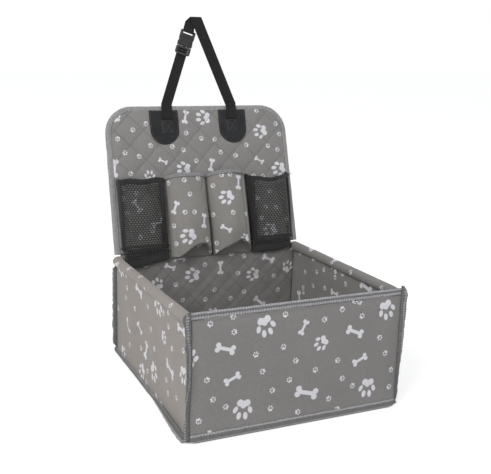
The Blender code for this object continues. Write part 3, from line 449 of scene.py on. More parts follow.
def leather(name):
    """Grained black leather with a sewn cross in a square, and a seam along its rim."""
    f = Finish(name, Specular_IOR_Level=0.32)
    point = f.flat()
    x, y, _ = f.parts(point)
    grain = f.cells(point, 900.0)
    fine = f.noise(point, 1500.0, 3.0)
    worn = f.noise(point, 30.0, 4.0)
    shade = f.mix(f.ramp(worn, 0.35, 0.75), (0.010, 0.0105, 0.012), (0.019, 0.020, 0.023))
    shade = f.mix(f.ramp(grain, 0.5, 0.9) * 0.35, shade, (0.007, 0.007, 0.008))
    height = grain * -1.0 + fine * 0.3
    wide, tall, slope = CROSS_WIDE, CROSS_TALL, math.hypot(CROSS_TALL, CROSS_WIDE)
    seams = [(y, abs(x), wide), (x, abs(y), tall)]
    for rise in (tall, -tall):
        seams.append(((x * wide + y * rise) / slope, (x * rise - y * wide) / slope, 0.0))
    inside = (abs(x) < wide + 0.0003) * (abs(y) < tall + 0.0003)
    lines = [f.stitches(*seam, 0.0030, 0.66, 0.0005) * inside for seam in seams]
    rim = f.node("ShaderNodeAttribute", {"attribute_name": "rim"}, output=2)
    lines.append(f.stitches(x + y, rim, 0.0030, 0.0028, 0.66, 0.0004))
    for dash in lines:
        shade = f.mix(dash * 0.9, shade, (0.090, 0.088, 0.086))
        height = height + dash * 4.0
    f.set(Base_Color=shade, Roughness=f.ramp(grain, 0.2, 0.9, 0.44, 0.64))
    return f.bump(height, 0.00022)


def webbing(name):
    """Flat woven strap: a fine herringbone across its width with firm selvedges."""
    f = Finish(name, Roughness=0.62, Sheen_Weight=0.04, Sheen_Roughness=0.35, Specular_IOR_Level=0.35)
    point = f.flat()
    x, y, _ = f.parts(point)
    zigzag = abs((y / 0.0062).math("FRACT") - 0.5) * 0.0062
    rows = ((x + zigzag) * (2 * math.pi / 0.0016)).math("SINE")
    cords = (y * (2 * math.pi / 0.00155)).math("SINE")
    fuzz = f.noise(point, 700.0, 3.0)
    shade = f.mix(f.ramp(rows, -0.6, 0.8), (0.006, 0.006, 0.006), (0.019, 0.019, 0.019))
    shade = f.mix(f.ramp(fuzz, 0.5, 0.8) * 0.30, shade, (0.036, 0.036, 0.036))
    f.set(Base_Color=shade)
    return f.bump(rows * 0.8 + cords * 0.6 + fuzz * 0.5, 0.0004)


def moulded(name):
    """Moulded buckle plastic with a fine grain and a painted highlight along its sharp edges."""
    f = Finish(name, Specular_IOR_Level=0.5)
    point = f.place()
    grain = f.noise(point, 2200.0, 2.0)
    cloud = f.noise(point, 60.0, 3.0)
    edge_highlight = f.node("ShaderNodeNewGeometry", output=7)
    edge = f.ramp(edge_highlight, 0.53, 0.60)
    shade = f.mix(cloud, (0.012, 0.012, 0.013), (0.020, 0.020, 0.021))
    # Painted highlight: the sharp edges are made lighter, as where they catch the light.
    f.set(Base_Color=f.mix(edge * 0.4, shade, (0.060, 0.060, 0.062)))
    f.set(Roughness=f.ramp(cloud, 0.3, 0.7, 0.26, 0.40))
    return f.bump(grain, 0.00008)


def extruded(name):
    """Light tube plastic with faint lines along it."""
    f = Finish(name)
    x, y, z = f.parts(f.place())
    lines = f.noise(f.combine(x * 40, y * 1.5, z * 40), 40.0, 3.0)
    cloud = f.noise(f.place(), 25.0, 3.0)
    shade = f.mix(cloud, (0.50, 0.50, 0.49), (0.60, 0.60, 0.59))
    f.set(Base_Color=f.mix(f.ramp(lines, 0.45, 0.7) * 0.3, shade, (0.40, 0.40, 0.39)))
    f.set(Roughness=f.ramp(lines, 0.3, 0.7, 0.34, 0.52))
    return f.bump(lines, 0.0002)


def fibreboard(name):
    f = Finish(name, Roughness=0.75)
    speck = f.noise(f.place(), 600.0, 4.0, 0.7)
    cloud = f.noise(f.place(), 14.0, 3.0)
    shade = f.mix(cloud, (0.11, 0.10, 0.09), (0.15, 0.14, 0.125))
    f.set(Base_Color=f.mix(f.ramp(speck, 0.5, 0.7), shade, (0.20, 0.19, 0.17)))
    return f.bump(speck, 0.0003)


# Making and fitting pieces


def surface(name, columns, rows, place, ring=False, flip=False):
    """A cloth or tape on a grid: place(u, v) gives a point, and where it lies on the flat cloth.
    ring joins its two long edges into a closed band with ends."""
    bm = bmesh.new()
    bmesh.ops.create_grid(bm, x_segments=columns, y_segments=rows, size=0.5)
    layer = bm.loops.layers.uv.new("flat")
    for vert in bm.verts:
        vert.co, flat = place(vert.co.x + 0.5, vert.co.y + 0.5)
        for loop in vert.link_loops:
            loop[layer].uv = flat
    if ring:
        bmesh.ops.remove_doubles(bm, verts=bm.verts, dist=1e-6)
        bmesh.ops.holes_fill(bm, edges=[e for e in bm.edges if e.is_boundary], sides=0)
        bmesh.ops.recalc_face_normals(bm, faces=bm.faces)
    if flip:
        bmesh.ops.reverse_faces(bm, faces=bm.faces)
    return make(bm, name)


def make(bm, name):
    mesh = bpy.data.meshes.new(name)
    bm.to_mesh(mesh)
    bm.free()
    mesh.shade_smooth()
    item = bpy.data.objects.new(name, mesh)
    bpy.context.scene.collection.objects.link(item)
    return item


def lay_print(item, pattern):
    """Gives each face the place of its points in the measure of the figure nearest to it: from
    -0.5 to 0.5 along the figure, and BONE_MARK more on a bone."""
    paws, bones, small = pattern
    motifs = [(x, y, turn, length, 0.0) for x, y, turn, length in paws]
    motifs += [(x, y, turn, length, BONE_MARK) for x, y, turn, length in bones]
    motifs += [(x, y, 137 * i, SMALL_PAW, 0.0) for i, (x, y) in enumerate(small)]
    motifs = [(x / 1000, y / 1000, turn, length / 1000, mark) for x, y, turn, length, mark in motifs]
    mesh = item.data
    mesh.uv_layers.new(name="figure")
    flat, figure = mesh.uv_layers["flat"].data, mesh.uv_layers["figure"].data
    for face in mesh.polygons:
        corners = [flat[i].uv for i in face.loop_indices]
        middle = sum(corners, Vector((0, 0))) / len(corners)

        def outside(motif):
            return math.hypot(middle.x - motif[0], middle.y - motif[1]) - 0.5 * motif[3]

        x, y, turn, length, mark = min(motifs, key=outside)
        cos, sin = math.cos(math.radians(turn)), math.sin(math.radians(turn))
        for i, corner in zip(face.loop_indices, corners):
            dx, dy = (corner.x - x) / length, (corner.y - y) / length
            figure[i].uv = (dx * cos + dy * sin + mark, dy * cos - dx * sin)


def thicken(item, thickness, offset=-1.0, levels=0):
    modifier = item.modifiers.new("thickness", "SOLIDIFY")
    modifier.thickness = thickness
    modifier.offset = offset
    modifier.use_even_offset = True
    if levels:
        modifier = item.modifiers.new("smooth", "SUBSURF")
        modifier.levels = modifier.render_levels = levels
        modifier.uv_smooth = "NONE"
    return item


def fit(item, finish, slot, body, *nodes):
    """Gives a piece its finish and the solids it stands for; body is one, or (a, b, start, end), whose
    parts are not used.
    """
    item.data.materials.append(finish.material)
    if isinstance(body, str):
        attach(item, body)
    else:
        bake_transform(item)
    if nodes:
        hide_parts(*nodes)
    return item


def puff(item, held, pressure, most):
    """Swells a cloth by simulation, by most at the most; held(point) is 1 where stitches keep it
    down."""
    rest = [vert.co.copy() for vert in item.data.vertices]
    group = item.vertex_groups.new(name="stitched")
    for i, point in enumerate(rest):
        weight = held(point)
        if weight > 0.01:
            group.add([i], weight, "REPLACE")
    modifier = item.modifiers.new("puff", "CLOTH")
    cloth = modifier.settings
    cloth.quality = 6
    cloth.mass = 0.2
    cloth.tension_stiffness = cloth.compression_stiffness = 12.0
    cloth.shear_stiffness = 6.0
    cloth.bending_stiffness = 0.25
    cloth.vertex_group_mass = "stitched"
    cloth.use_pressure = True
    cloth.uniform_pressure_force = pressure
    cloth.effector_weights.gravity = 0.0
    modifier.collision_settings.use_collision = False
    scene = bpy.context.scene
    for number in range(1, 17):
        scene.frame_set(number)
    seen = item.evaluated_get(bpy.context.evaluated_depsgraph_get())
    moved = [vert.co.copy() for vert in seen.data.vertices]
    item.modifiers.remove(modifier)
    scene.frame_set(1)
    for vert, old, new in zip(item.data.vertices, rest, moved):
        step = new - old
        if step.length > most:
            step = step.normalized() * most
        vert.co = old + step
    item.data.update()


def edge_ring(w, power=0.55):
    """Section of a flat rounded band: 0 to 1 across its width, -1 to 1 through it."""
    angle = 2 * math.pi * w
    c, s = math.cos(angle), math.sin(angle)
    return 0.5 + 0.5 * signed(c, power), signed(s, power)


def bound_seam(name, path, length, rows, pucker, seed):
    """A bound seam that stands out of an edge. path(v) gives its root, the way out, the way
    through it, its reach and its thickness."""

    def place(u, v):
        root, out, through, reach, thick = path(v)
        a, b = edge_ring(u)
        along = v * length
        flat = (along, (1 - 2 * u) * reach)
        loose = (ripple(along * 120, a + seed, b) + ripple(along * 40, b, a + seed)) * pucker
        reach *= 1 + 0.5 * loose
        sway = 0.0007 * ripple(along * 24, seed, 9.0) * a
        return root + out * (a * reach) + through * (0.5 * b * thick * (1 + 1.6 * loose) + sway), flat

    return surface(name, 14, rows, place, ring=True)


def folded_tape(name, path, length, rows, wide, half, pucker, seed):
    """A tape folded over an edge, wide on each face, with half the edge's thickness. path(v)
    gives the edge point, the way in from the edge and the way out of the front face."""
    nose, thick = 0.30, 0.0008

    def place(u, v):
        edge, inward, out = path(v)
        t = 2 * u - 1
        bend = min(abs(t) / nose, 1.0)
        reach = max(abs(t) - nose, 0.0) / (1 - nose) * (wide - half)
        n = 0.0 if abs(t) < 1e-9 else -half * math.sin(0.5 * math.pi * bend) * math.copysign(1, t)
        w = half * (1 - math.cos(0.5 * math.pi * bend)) + reach
        along = v * length
        lift = pucker * (ripple(along * 170, 4 * u, seed) + ripple(along * 60, seed, 3 * u)) * (0.3 + bend)
        n += math.copysign(lift, n) if n else 0.0
        w += 0.6 * pucker * ripple(along * 90, seed + 5, u)
        return edge + inward * w + out * n, (along, (0.5 - u) * 2 * wide)

    return thicken(surface(name, 14, rows, place), thick, 1.0)


# The patterns in millimetres: paws and bones as (across, up, direction in degrees, length), and
# small paws as (across, up)

PANEL = (
    [
        (10, 294, 175, 36), (152, 259, 190, 35), (-48, 178, 178, 34), (-130, 165, 85, 26),
        (192, 168, 192, 37), (155, 25, 193, 36), (-195, 298, 100, 22),
    ],
    [
        (-33, 296, -104, 30), (-209, 186, -99, 39), (-96, 197, -24, 22), (20, 184, -104, 29),
        (143, 191, -33, 24), (123, 93, -115, 30), (-165, 100, -60, 30), (-120, 60, 20, 30),
    ],
    [
        (147, 308), (195, 276), (-128, 282), (-160, 269), (-35, 259), (202, 251), (1, 246), (-196, 250),
        (34, 243), (113, 228), (-122, 233), (169, 224), (-71, 229), (193, 214), (-45, 221), (46, 213),
        (-182, 219), (83, 204), (-150, 210), (-16, 195), (-173, 172), (124, 154), (149, 153),
        (-193, 141), (-164, 128), (-196, 118), (-189, 85), (-135, 44), (-164, 31), (163, 116),
        (149, 80), (175, 77), (136, 55), (201, 47), (122, 133), (-85, 270),
    ],
)
POCKETS = (
    [
        (-64, 24, 200, 37), (39, 106, 204, 35), (76, 9, 190, 24),
    ],
    [
        (-87, 90, 62, 29), (-21, 56, -100, 32), (74, 139, -99, 33), (29, 35, -32, 25),
        (3, -20, -103, 18),
    ],
    [
        (-24, 153), (-59, 150), (-99, 146), (-49, 118), (-44, 77), (-66, 78), (-16, 14), (-35, -6),
        (53, 158), (33, 158), (49, 70), (40, -14), (3, 69), (5, 4), (-95, 50), (86, 65), (10, 135),
        (-93, 10),
    ],
)
FRONT = (
    [
        (186, 202, -71, 39), (42, 154, 215, 30), (149, 49, -96, 39), (-74, 201, -74, 40),
        (-117, 49, -98, 40), (-221.5, 159, 78, 36), (1030, 190, -70, 39), (1150, 60, -100, 39),
        (1280, 180, 200, 36), (1360, 70, -80, 39), (640, 10, 80, 30), (900, 6, 200, 30),
    ],
    [
        (115, 167, -24, 38), (4, 189, -118, 29), (129, 109, -157, 33), (14, 60, -16, 48),
        (-153, 169, -17, 39), (-139, 111, 23, 33), (1090, 130, -24, 38), (1210, 190, -118, 30),
        (1230, 50, 30, 36), (1340, 130, -60, 38), (1050, 60, 10, 36), (760, 8, 30, 30),
    ],
    [
        (113, 227), (124, 224), (86, 214), (130, 196), (48, 199), (172, 148), (-37, 157), (187, 114),
        (79, 115), (-11, 127), (204, 77), (31, 103), (-79, 116), (91, 77), (-23, 91), (115, 58),
        (201, 42), (-58, 76), (63, 40), (-61, 41), (82, 16), (-4, 25), (-82, 10), (-183, 15),
        (-182, 218), (-136, 198), (-138, 226), (-93, 150), (-188, 116), (-176, 77), (-151, 59),
        (-203, 40), (-34, 218), (1060, 225), (1120, 165), (1170, 120), (1190, 220), (1260, 110),
        (1310, 210), (1310, 30), (1090, 30), (1380, 160),
    ],
)
LEFT = (
    [
        (-52, 200, -91, 43), (-82, 146, 186, 29), (-21, 50, 215, 42), (50, 22, -50, 36),
        (189, 205, -113, 40), (179, 14, 207, 30), (-190, 114, -99, 34),
    ],
    [
        (68, 192, -164, 41), (138, 92, -118, 33), (68, 110, -131, 28), (-119, 97, -165, 48),
        (33, 75, -72, 39), (-55, 2, -173, 38), (-175, 196, 180, 35),
    ],
    [
        (183, 222), (153, 199), (49, 238), (147, 173), (1, 221), (156, 148), (215, 104), (96, 143),
        (11, 177), (-108, 205), (-80, 194), (-107, 177), (-2, 133), (-82, 147), (28, 91), (135, 48),
        (63, 68), (-134, 144), (-24, 100), (-186, 160), (17, 36), (-94, 64), (20, 11), (-107, 42),
        (-158, 56), (120, 232), (-140, 238), (-30, 252), (80, 250),
    ],
)
RIGHT = (
    [
        (28, 222, -122, 48), (-160, 90, 40, 40), (110, 60, 140, 40), (-50, 120, -80, 40),
        (-90, 22, 100, 40),
    ],
    [
        (129, 222, -114, 45), (24, 153, 180, 32), (-97, 205, -171, 43), (-30, 65, -60, 42),
        (30, 30, 20, 42), (175, 90, 75, 40), (-180, 160, 30, 40),
    ],
    [
        (31, 251), (73, 193), (25, 190), (102, 180), (158, 163), (-48, 257), (-4, 206), (-21, 189),
        (116, 142), (161, 124), (64, 153), (159, 113), (-165, 264), (60, 100), (0, 95), (-110, 150),
        (-120, 70), (-200, 40), (155, 25), (-20, 20), (190, 200),
    ],
)
WALL = (
    [
        (202, 161, 62, 30), (-43, 163, 175, 36), (-127, 149, 118, 30), (110, 150, 178, 34),
        (-170, 60, 60, 36), (10, 60, 140, 36),
    ],
    [
        (-75, 204, -4, 27), (-97, 187, -23, 27), (26, 174, -89, 31), (149, 185, -25, 33),
        (130, 80, -40, 34), (-100, 70, 30, 34),
    ],
    [
        (52, 205), (85, 197), (-13, 185), (-154, 196), (72, 156), (166, 141), (-83, 144), (178, 105),
        (13, 122), (89, 109), (55, 96), (-9, 100), (-65, 105), (-180, 110), (-130, 30), (60, 35),
        (180, 40), (-40, 30),
    ],
)
FLOOR = (
    [
        (-150, -120, 30, 37), (20, -150, 120, 37), (140, -50, -60, 37), (-50, 30, 200, 37),
        (120, 130, 80, 37), (-140, 140, -20, 37),
    ],
    [
        (-70, -70, -30, 38), (90, -120, 60, 38), (-160, 20, 100, 38), (50, 80, 15, 38),
        (-40, 150, -50, 38), (170, 40, 140, 38),
    ],
    [
        (-190, -180), (-100, -170), (-30, -110), (50, -90), (150, -180), (190, -110), (-110, -20),
        (10, -30), (80, 10), (-190, 80), (-90, 90), (10, 130), (190, 120), (70, 180), (-180, 190),
        (-100, 190),
    ],
)

panel_print = printed_cloth("panel_quilting", quilted=True)
# The left, right and front copies of the print are lit and shaded copies of one cloth: painted light on the
# left wall, painted shade on the front, the fold and the right wall.
pocket_print = printed_cloth("pocket_print", painted_light_tint=(1.02, 1.0, 0.97))
front_print = printed_cloth("front_print", painted_light_tint=(0.92, 0.92, 0.93))
left_print = printed_cloth("left_side_print", painted_light_tint=(1.26, 1.17, 1.11))
right_print = printed_cloth("right_side_print", painted_light_tint=(0.96, 0.95, 0.93))
wall_print = printed_cloth("back_wall_quilting", quilted=True)
floor_print = printed_cloth("floor_quilting", quilted=True)
rear_cloth = plain_cloth("rear_cloth", (0.200, 0.198, 0.195))
pocket_tape = tape("pocket_binding_tape", (0.300, 0.300, 0.310), rows=(0.0058, -0.0058))
edge_tape = tape(
    "panel_edge_tape", (0.370, 0.370, 0.380), rows=(0.0095, -0.0095), dark=((0.0118, 0.0006),)
)
seam_tape = tape(
    "seam_tape", (0.170, 0.170, 0.176), (0.52, 0.52, 0.55),
    dense=((0.0078, 0.0009), (-0.0078, 0.0009), (0.0012, 0.0005)),
    dark=((0.0026, 0.0008), (-0.0026, 0.0008)),
)
top_tape = tape(
    "front_top_tape", (0.250, 0.250, 0.260), (0.62, 0.62, 0.66),
    dense=((0.0086, 0.0022), (0.0014, 0.0009)), dark=((0.0052, 0.0014), (0.0128, 0.0004)),
)
bottom_tape = tape(
    "bottom_tape", (0.275, 0.273, 0.276), (0.60, 0.60, 0.64),
    dense=((0.0110, 0.0018), (-0.0110, 0.0018), (0.0026, 0.0018), (-0.0026, 0.0018)),
    dark=((0.0068, 0.0009), (-0.0068, 0.0009)),
)
black_tape = tape("black_binding_tape", (0.014,) * 3, (0.040,) * 3, rows=(0.0050, -0.0050))
black_net = net("black_net")
black_leather = leather("grained_leather")
black_webbing = webbing("strap_webbing")
buckle_plastic = moulded("buckle_plastic")
tube_plastic = extruded("tube_plastic")
board_fibre = fibreboard("board_fibre")


# Box


def side_cloth(word, side, finish, pattern):
    """One cloth: the hanging wall, its hem round the support tube, and back to the seam."""
    wall_share, start, turn, rear = 0.66, -0.5 * math.pi, math.radians(345), 0.2224

    def wall(u, t):
        z = mix(0.0032, rod_z(mix(FRONT_FLOOR + 0.0010, rear, u)) - HEM_RADIUS, t)
        y = mix(front_y(z) + 0.0010, rear, u)
        slack = hump((t - 0.06) / 0.94) ** 0.8 * hump(u) ** 0.7
        fold = 0.0016 * math.sin(2 * math.pi * (1.6 * u + 0.35 * t) + side)
        fold += 0.0010 * math.sin(2 * math.pi * (3.3 * u - 0.6 * t))
        fold += 0.0048 * ripple(u * 4.2, t * 2.6, side) + 0.0016 * ripple(u * 11, t * 7, side)
        slant = t + 0.9 * (u - 0.72)
        crease = 0.0030 * ridge(slant - 0.50, 0.045) - 0.0026 * ridge(slant - 0.43, 0.05)
        crease *= ease((u - 0.50) / 0.25)
        corner = 0.0012 * (1 - ease(u / 0.035))
        corner += between(z, LEFT_CORNER if side < 0 else RIGHT_CORNER) * (1 - ease(u / 0.16))
        x = side_x(z) + 0.0007 + slack * (fold - 0.0022 + crease) + corner
        return Vector((side * x, y, z)), (y, z)

    def hem(u, angle):
        lip = 0.0045 * (0.5 - 0.5 * math.cos(angle + 0.6)) if side < 0 else 0.0
        y = mix(-0.2098 + lip, 0.2214, u)
        y = mix(y, mix(FRONT_TOP + 0.0012, rear, u), 1 - ease((angle - start) / 0.7))
        radius = HEM_RADIUS + 0.0006 * ripple(u * 6, angle * 0.7, side * 3)
        radius += 0.0003 * ripple(u * 30, angle, 1)
        flat_front = 1 - ease((u - 0.02) / 0.05) if side > 0 else 0.0
        c, s = math.cos(angle), math.sin(angle)
        if c < 0:
            square = mix(1.0, 0.40, ease((u - 0.93) / 0.05))
            c, s = signed(c, square), signed(s, square)
        x = SIDE_RIM + 0.0007 * (1 - ease((angle + 1.6) / 1.2))
        x += mix(radius, 0.35 * radius, flat_front) * c
        z = rod_z(y)
        return Vector((side * x, y, z + radius * s)), (y, z - HEM_RADIUS + radius * (angle - start))

    def spot(u, v):
        if v < wall_share:
            return wall(u, v / wall_share)
        return hem(u, mix(start, start + turn, (v - wall_share) / (1 - wall_share)))

    item = surface(f"{word}_side_cloth", 84, 64, spot, flip=side < 0)
    lay_print(item, pattern)
    thicken(item, CLOTH, -1.0, 1)
    fit(item, finish, "printed_cloth", "box", f"{word}_side_wall", f"{word}_rod_sleeve")
    return item


def rounding(up, radius):
    """How far a round corner draws an edge in, at a height over its foot."""
    return radius - math.sqrt(max(radius**2 - max(radius - up, 0.0) ** 2, 0.0))


def front_cover():
    """The stiff front panel in its cloth cover, a little fuller in the middle."""
    straight, rim = 0.46, 0.04
    low, high = 0.0025, 0.2388
    lining = 1.2

    def spot(u, v):
        u %= 1.0
        z = mix(low, high, v**1.25 if v < 0.2 else mix(0.2**1.25, 1.0, (v - 0.2) / 0.8))
        level = (z - low) / (high - low)
        full, swell = hump(level) ** 0.5, foot_swell(z)
        half = front_half(z) - COVER_EDGE
        left = -half - between(z, LEFT_CORNER) + rounding(z - low, 0.0050)
        right = half + between(z, RIGHT_CORNER) - rounding(z - low, 0.0120)
        if u < straight:
            t = u / straight
            x, depth = mix(left, right, t), -swell
            depth -= 0.0030 * full * ease((t - 0.012) / 0.050) * ease((0.995 - t) / 0.06)
            depth -= 0.0005 * ripple(x * 18, z * 22, 1) * full
            depth -= 0.0012 * full * ripple(x * 7, z * 9, 4) * hump(t) ** 0.4
            depth += 0.0012 * ridge(level - 0.925, 0.02) * hump(t) ** 0.3
        elif u < straight + rim:
            angle = math.pi * (u - straight) / rim
            x, depth = right + COVER_EDGE * math.sin(angle), COVER_EDGE * (1 - math.cos(angle))
            depth -= swell * 0.5 * (1 + math.cos(angle))
        elif u < 2 * straight + rim:
            t = (u - straight - rim) / straight
            x, depth = mix(right, left, t), FRONT_THICK
            depth += 0.0012 * full * hump(t) ** 0.4 + 0.0006 * ripple(x * 20, z * 20, 7)
        else:
            angle = math.pi * (u - 2 * straight - rim) / rim
            x, depth = left - COVER_EDGE * math.sin(angle), COVER_EDGE * (1 + math.cos(angle))
            depth -= swell * 0.5 * (1 - math.cos(angle))
        return Vector((x, front_y(z) + depth, z)), (x if u < straight + rim else lining - x, z)

    item = surface("front_panel_cover", 200, 72, spot, ring=True)
    lay_print(item, FRONT)
    fit(item, front_print, "printed_cloth", "box", "front_panel_cloth", "front_panel_lining")
    return item


def front_tape():
    """The tape folded over the front's top edge."""
    half, out = 0.2190, Vector((0, -1, 0.05)).normalized()

    def path(v):
        x = mix(-half, half, v)
        edge = Vector((x, FRONT_TOP + 0.0033, FRONT_HEIGHT + 0.0004 + 0.0005 * ripple(x * 30, 2)))
        return edge, -UP, out

    item = folded_tape("front_top_tape", path, 2 * half, 150, 0.0135, 0.0047, 0.0004, 1.0)
    return fit(item, top_tape, "grey_binding", "box", "front_top_binding")


def flange(corner_name, side, forward, corner, low, high, reach):
    """A bound seam that stands out of corner(z), by reach(z), and forward by forward(z) of that."""

    def path(v):
        z = mix(low, high, v)
        out = Vector((side, forward(z), 0)).normalized()
        through = Vector((out.y, -out.x, 0))
        end = min(1.0, 0.45 + 14 * min(v, 1 - v))
        ragged = 1 + 0.06 * ripple(z * 90, side, 2) + 0.05 * ripple(z * 300, side, 6)
        root = Vector(corner(z)) - out * 0.0012
        return root, out, through, reach(z) * end * ragged, 0.0040 * (0.5 + 0.5 * end)

    item = bound_seam(f"{corner_name}_seam_tape", path, high - low, 130, 0.20, side + forward(0.1))
    return fit(item, seam_tape, "grey_binding", "box", f"{corner_name}_seam_binding")


def left_corner(z):
    """Root of the front left seam; the next functions give the rest of both front seams."""
    return Vector((-front_half(z) - between(z, LEFT_CORNER), front_y(z) - 0.0008 - foot_swell(z), z))


def left_forward(z):
    """It turns forward in the middle, where it looks narrow."""
    return -mix(0.15, 0.78, ease((z - 0.060) / 0.060) * ease((0.225 - z) / 0.060))


def left_reach(z):
    """How far it stands out, so that its tip is seen where LEFT_TIP puts it."""
    turn = math.atan(-left_forward(z))
    seen = 1.06 * math.cos(turn) - 0.41 * math.sin(turn)
    return (between(z, LEFT_TIP) - between(z, LEFT_CORNER)) / seen + 0.0008


def right_corner(z):
    return Vector((front_half(z) + between(z, RIGHT_CORNER), front_y(z) + 0.0006 - foot_swell(z), z))


def right_reach(z):
    return between(z, RIGHT_TIP) - between(z, RIGHT_CORNER) + 0.0008


def bottom_binding():
    """One band right round the foot: flat on the floor at the sides, standing up in front."""
    half_x, front, back, radius = 0.2178, FRONT_FLOOR - 0.0022, BACK_Y + 0.0022, 0.0120
    straight_x, straight_y = 2 * (half_x - radius), back - front - 2 * radius
    arc = 0.5 * math.pi * radius
    lengths = [straight_y, arc, straight_x, arc] * 2
    total = sum(lengths)
    across, ends = half_x - radius, (front + radius, back - radius)
    centres = [Vector((side * across, ends[far], 0)) for side, far in ((-1, 0), (1, 0), (1, 1), (-1, 1))]

    def station(v):
        """Starts at the rear left, runs forward, then right along the front and round."""
        d = (v % 1.0) * total
        part = 0
        while part < 7 and d > lengths[part]:
            d -= lengths[part]
            part += 1
        t = d / lengths[part]
        quarter, turning = divmod(part, 2)
        angle = math.radians(180 + 90 * (quarter + t * turning))
        normal = Vector((math.cos(angle), math.sin(angle), 0))
        centre = centres[quarter - 1].lerp(centres[quarter], 1.0 if turning else t)
        return centre + normal * radius, normal

    def path(v):
        point, normal = station(v)
        upright = ease((abs(normal.y) - 0.15) / 0.7)
        front_face = ease((-point.y - 0.19) / 0.03)
        left_front = ease((-point.x - 0.1) / 0.1) * ease((-point.y - 0.02) / 0.20)
        right_front = ease((point.x - 0.12) / 0.09) * ease((-point.y - 0.12) / 0.10)
        tilt = math.radians(mix(mix(12, 4, left_front), mix(88, 102, front_face), upright))
        reach = mix(mix(0.0092, 0.0150, left_front), mix(0.0118, 0.0140, front_face), upright)
        out = normal * math.cos(tilt) + UP * math.sin(tilt)
        through = UP * math.cos(tilt) - normal * math.sin(tilt)
        lobe = 0.0022 * left_front * (1 - upright) * upright * 4
        reach *= 1 + 0.06 * ripple(v * 60, 2, 7) + 0.07 * ripple(v * 190, 5, 1)
        root = point + UP * 0.0026 + normal * (lobe - 0.0012 * (1 - upright))
        root += Vector((-0.0048 * left_front - 0.0042 * right_front, -0.0045 * front_face, 0))
        return root, out, through, reach, 0.0040

    item = bound_seam("bottom_tape", path, total, 420, 0.12, 4.0)
    return fit(
        item, bottom_tape, "grey_binding", "box",
        "bottom_front_binding", "bottom_left_binding", "bottom_right_binding", "bottom_rear_binding",
    )


def base_outline(x, y, radius=0.012):
    """Pulls a point of the base's rectangle in to its rounded corners."""
    over = max(BASE_FRONT + radius - y, y - BASE_REAR + radius, 0.0)
    left_front = ease((-y - 0.02) / 0.20) * max(-x / BASE_HALF, 0.0)
    right_front = ease((-y - 0.12) / 0.10) * max(x / BASE_HALF, 0.0)
    x *= (BASE_HALF - radius + math.sqrt(max(radius**2 - over**2, 0.0))) / BASE_HALF
    return x - 0.0045 * left_front - 0.0040 * right_front


def base_pieces():
    """The cloth under the base and the quilted cushion in it."""

    def under(u, v):
        y = mix(BASE_FRONT, BASE_REAR, v)
        x = base_outline(mix(-BASE_HALF, BASE_HALF, u), y)
        return Vector((x, y, 0.0004 * hump(u) * hump(v))), (x, y)

    item = surface("base_undercloth", 48, 90, under, flip=True)
    thicken(item, 0.0014)
    fit(item, rear_cloth, "plain_cloth", "box", "base_cloth")

    half, front, rear, foot = 0.2150, -0.2218, 0.2164, 0.0050

    def cushion(u, v):
        turn = 2 * (u % 1.0)
        x, y, z = mix(-half, half, turn if turn < 1 else 2 - turn), mix(front, rear, v), foot
        if turn < 1:
            edge = ((1 - abs(x / half) ** 8) * (1 - abs(2 * v - 1) ** 8)) ** 0.5
            z += mix(0.0030, 0.0090 + 0.0016 * quilt_puff(x, y), edge)
        return Vector((x, y, z)), (x, y)

    def held(point):
        edge = abs(point.x) > 0.208 or abs(point.y - 0.5 * (front + rear)) > 0.212
        return 1.0 if point.z < foot + 0.0005 or edge or quilt_puff(point.x, point.y) < 0.35 else 0.0

    item = surface("floor_cushion", 160, 80, cushion, ring=True)
    lay_print(item, FLOOR)
    puff(item, held, 3.0, 0.0025)
    fit(item, floor_print, "printed_cloth", "box", "floor_pad")


def wall_half(z, low=0.2160, high=0.2086):
    """Half width of the back wall, which steps in beside the tubes."""
    return mix(low, high, ease((z - WALL_STEP) / 0.003))


def back_wall():
    low, high = 0.0150, 0.2226

    def quilt(u, v):
        z = mix(low, high, v)
        x = mix(-wall_half(z), wall_half(z), u)
        edge = min(1.0, 16 * u, 16 * (1 - u), 9 * v, 9 * (1 - v))
        rise = 0.0020 * edge * quilt_puff(x, z - FOLD_Z) + 0.0006 * ripple(x * 14, z * 14, 3) * edge
        return Vector((x, BACK_FACE_Y - rise, z)), (x, z)

    def held(point):
        edge = abs(point.x) > 0.206 or not low + 0.004 < point.z < high - 0.004
        return 1.0 if edge or quilt_puff(point.x, point.z - FOLD_Z) < 0.34 else 0.0

    item = surface("back_wall_pad", 120, 60, quilt)
    lay_print(item, WALL)
    puff(item, held, 2.5, 0.0016)
    thicken(item, 0.0032)
    fit(item, wall_print, "printed_cloth", "box", "back_wall_quilt")

    def rear(u, v):
        z = mix(0.0024, 0.2228, v)
        half = wall_half(z, 0.2174, 0.2090)
        x = mix(half, -half, u)
        y = BACK_Y + 0.0002 + 0.0006 * ripple(x * 16, z * 16, 9) * hump(u) * hump(v)
        return Vector((x, y, z)), (x, z)

    item = surface("back_wall_rear_cloth", 80, 44, rear)
    thicken(item, 0.0045)
    fit(item, rear_cloth, "plain_cloth", "box", "back_wall_backing")


# Back panel


def panel_half(s):
    """Half width of the panel at a height, below its round corners."""
    return mix(PANEL_HALF_FOLD, PANEL_HALF_TOP, min(s / SHOULDER, 1.0))


def panel_width(s, inset):
    """Half width of the panel at a height, with its round top corners, inset from its edge."""
    if s <= SHOULDER:
        return panel_half(s) - inset
    radius = PANEL_CORNER - inset
    return PANEL_HALF_TOP - PANEL_CORNER + math.sqrt(max(radius**2 - (s - SHOULDER) ** 2, 0.0))


def panel_rows(v, inset, low):
    """Heights of the rows, closer together round the corners."""
    share = 0.74
    if v < share:
        return mix(low, SHOULDER, v / share)
    return SHOULDER + (PANEL_CORNER - inset) * math.sin(0.5 * math.pi * (v - share) / (1 - share))


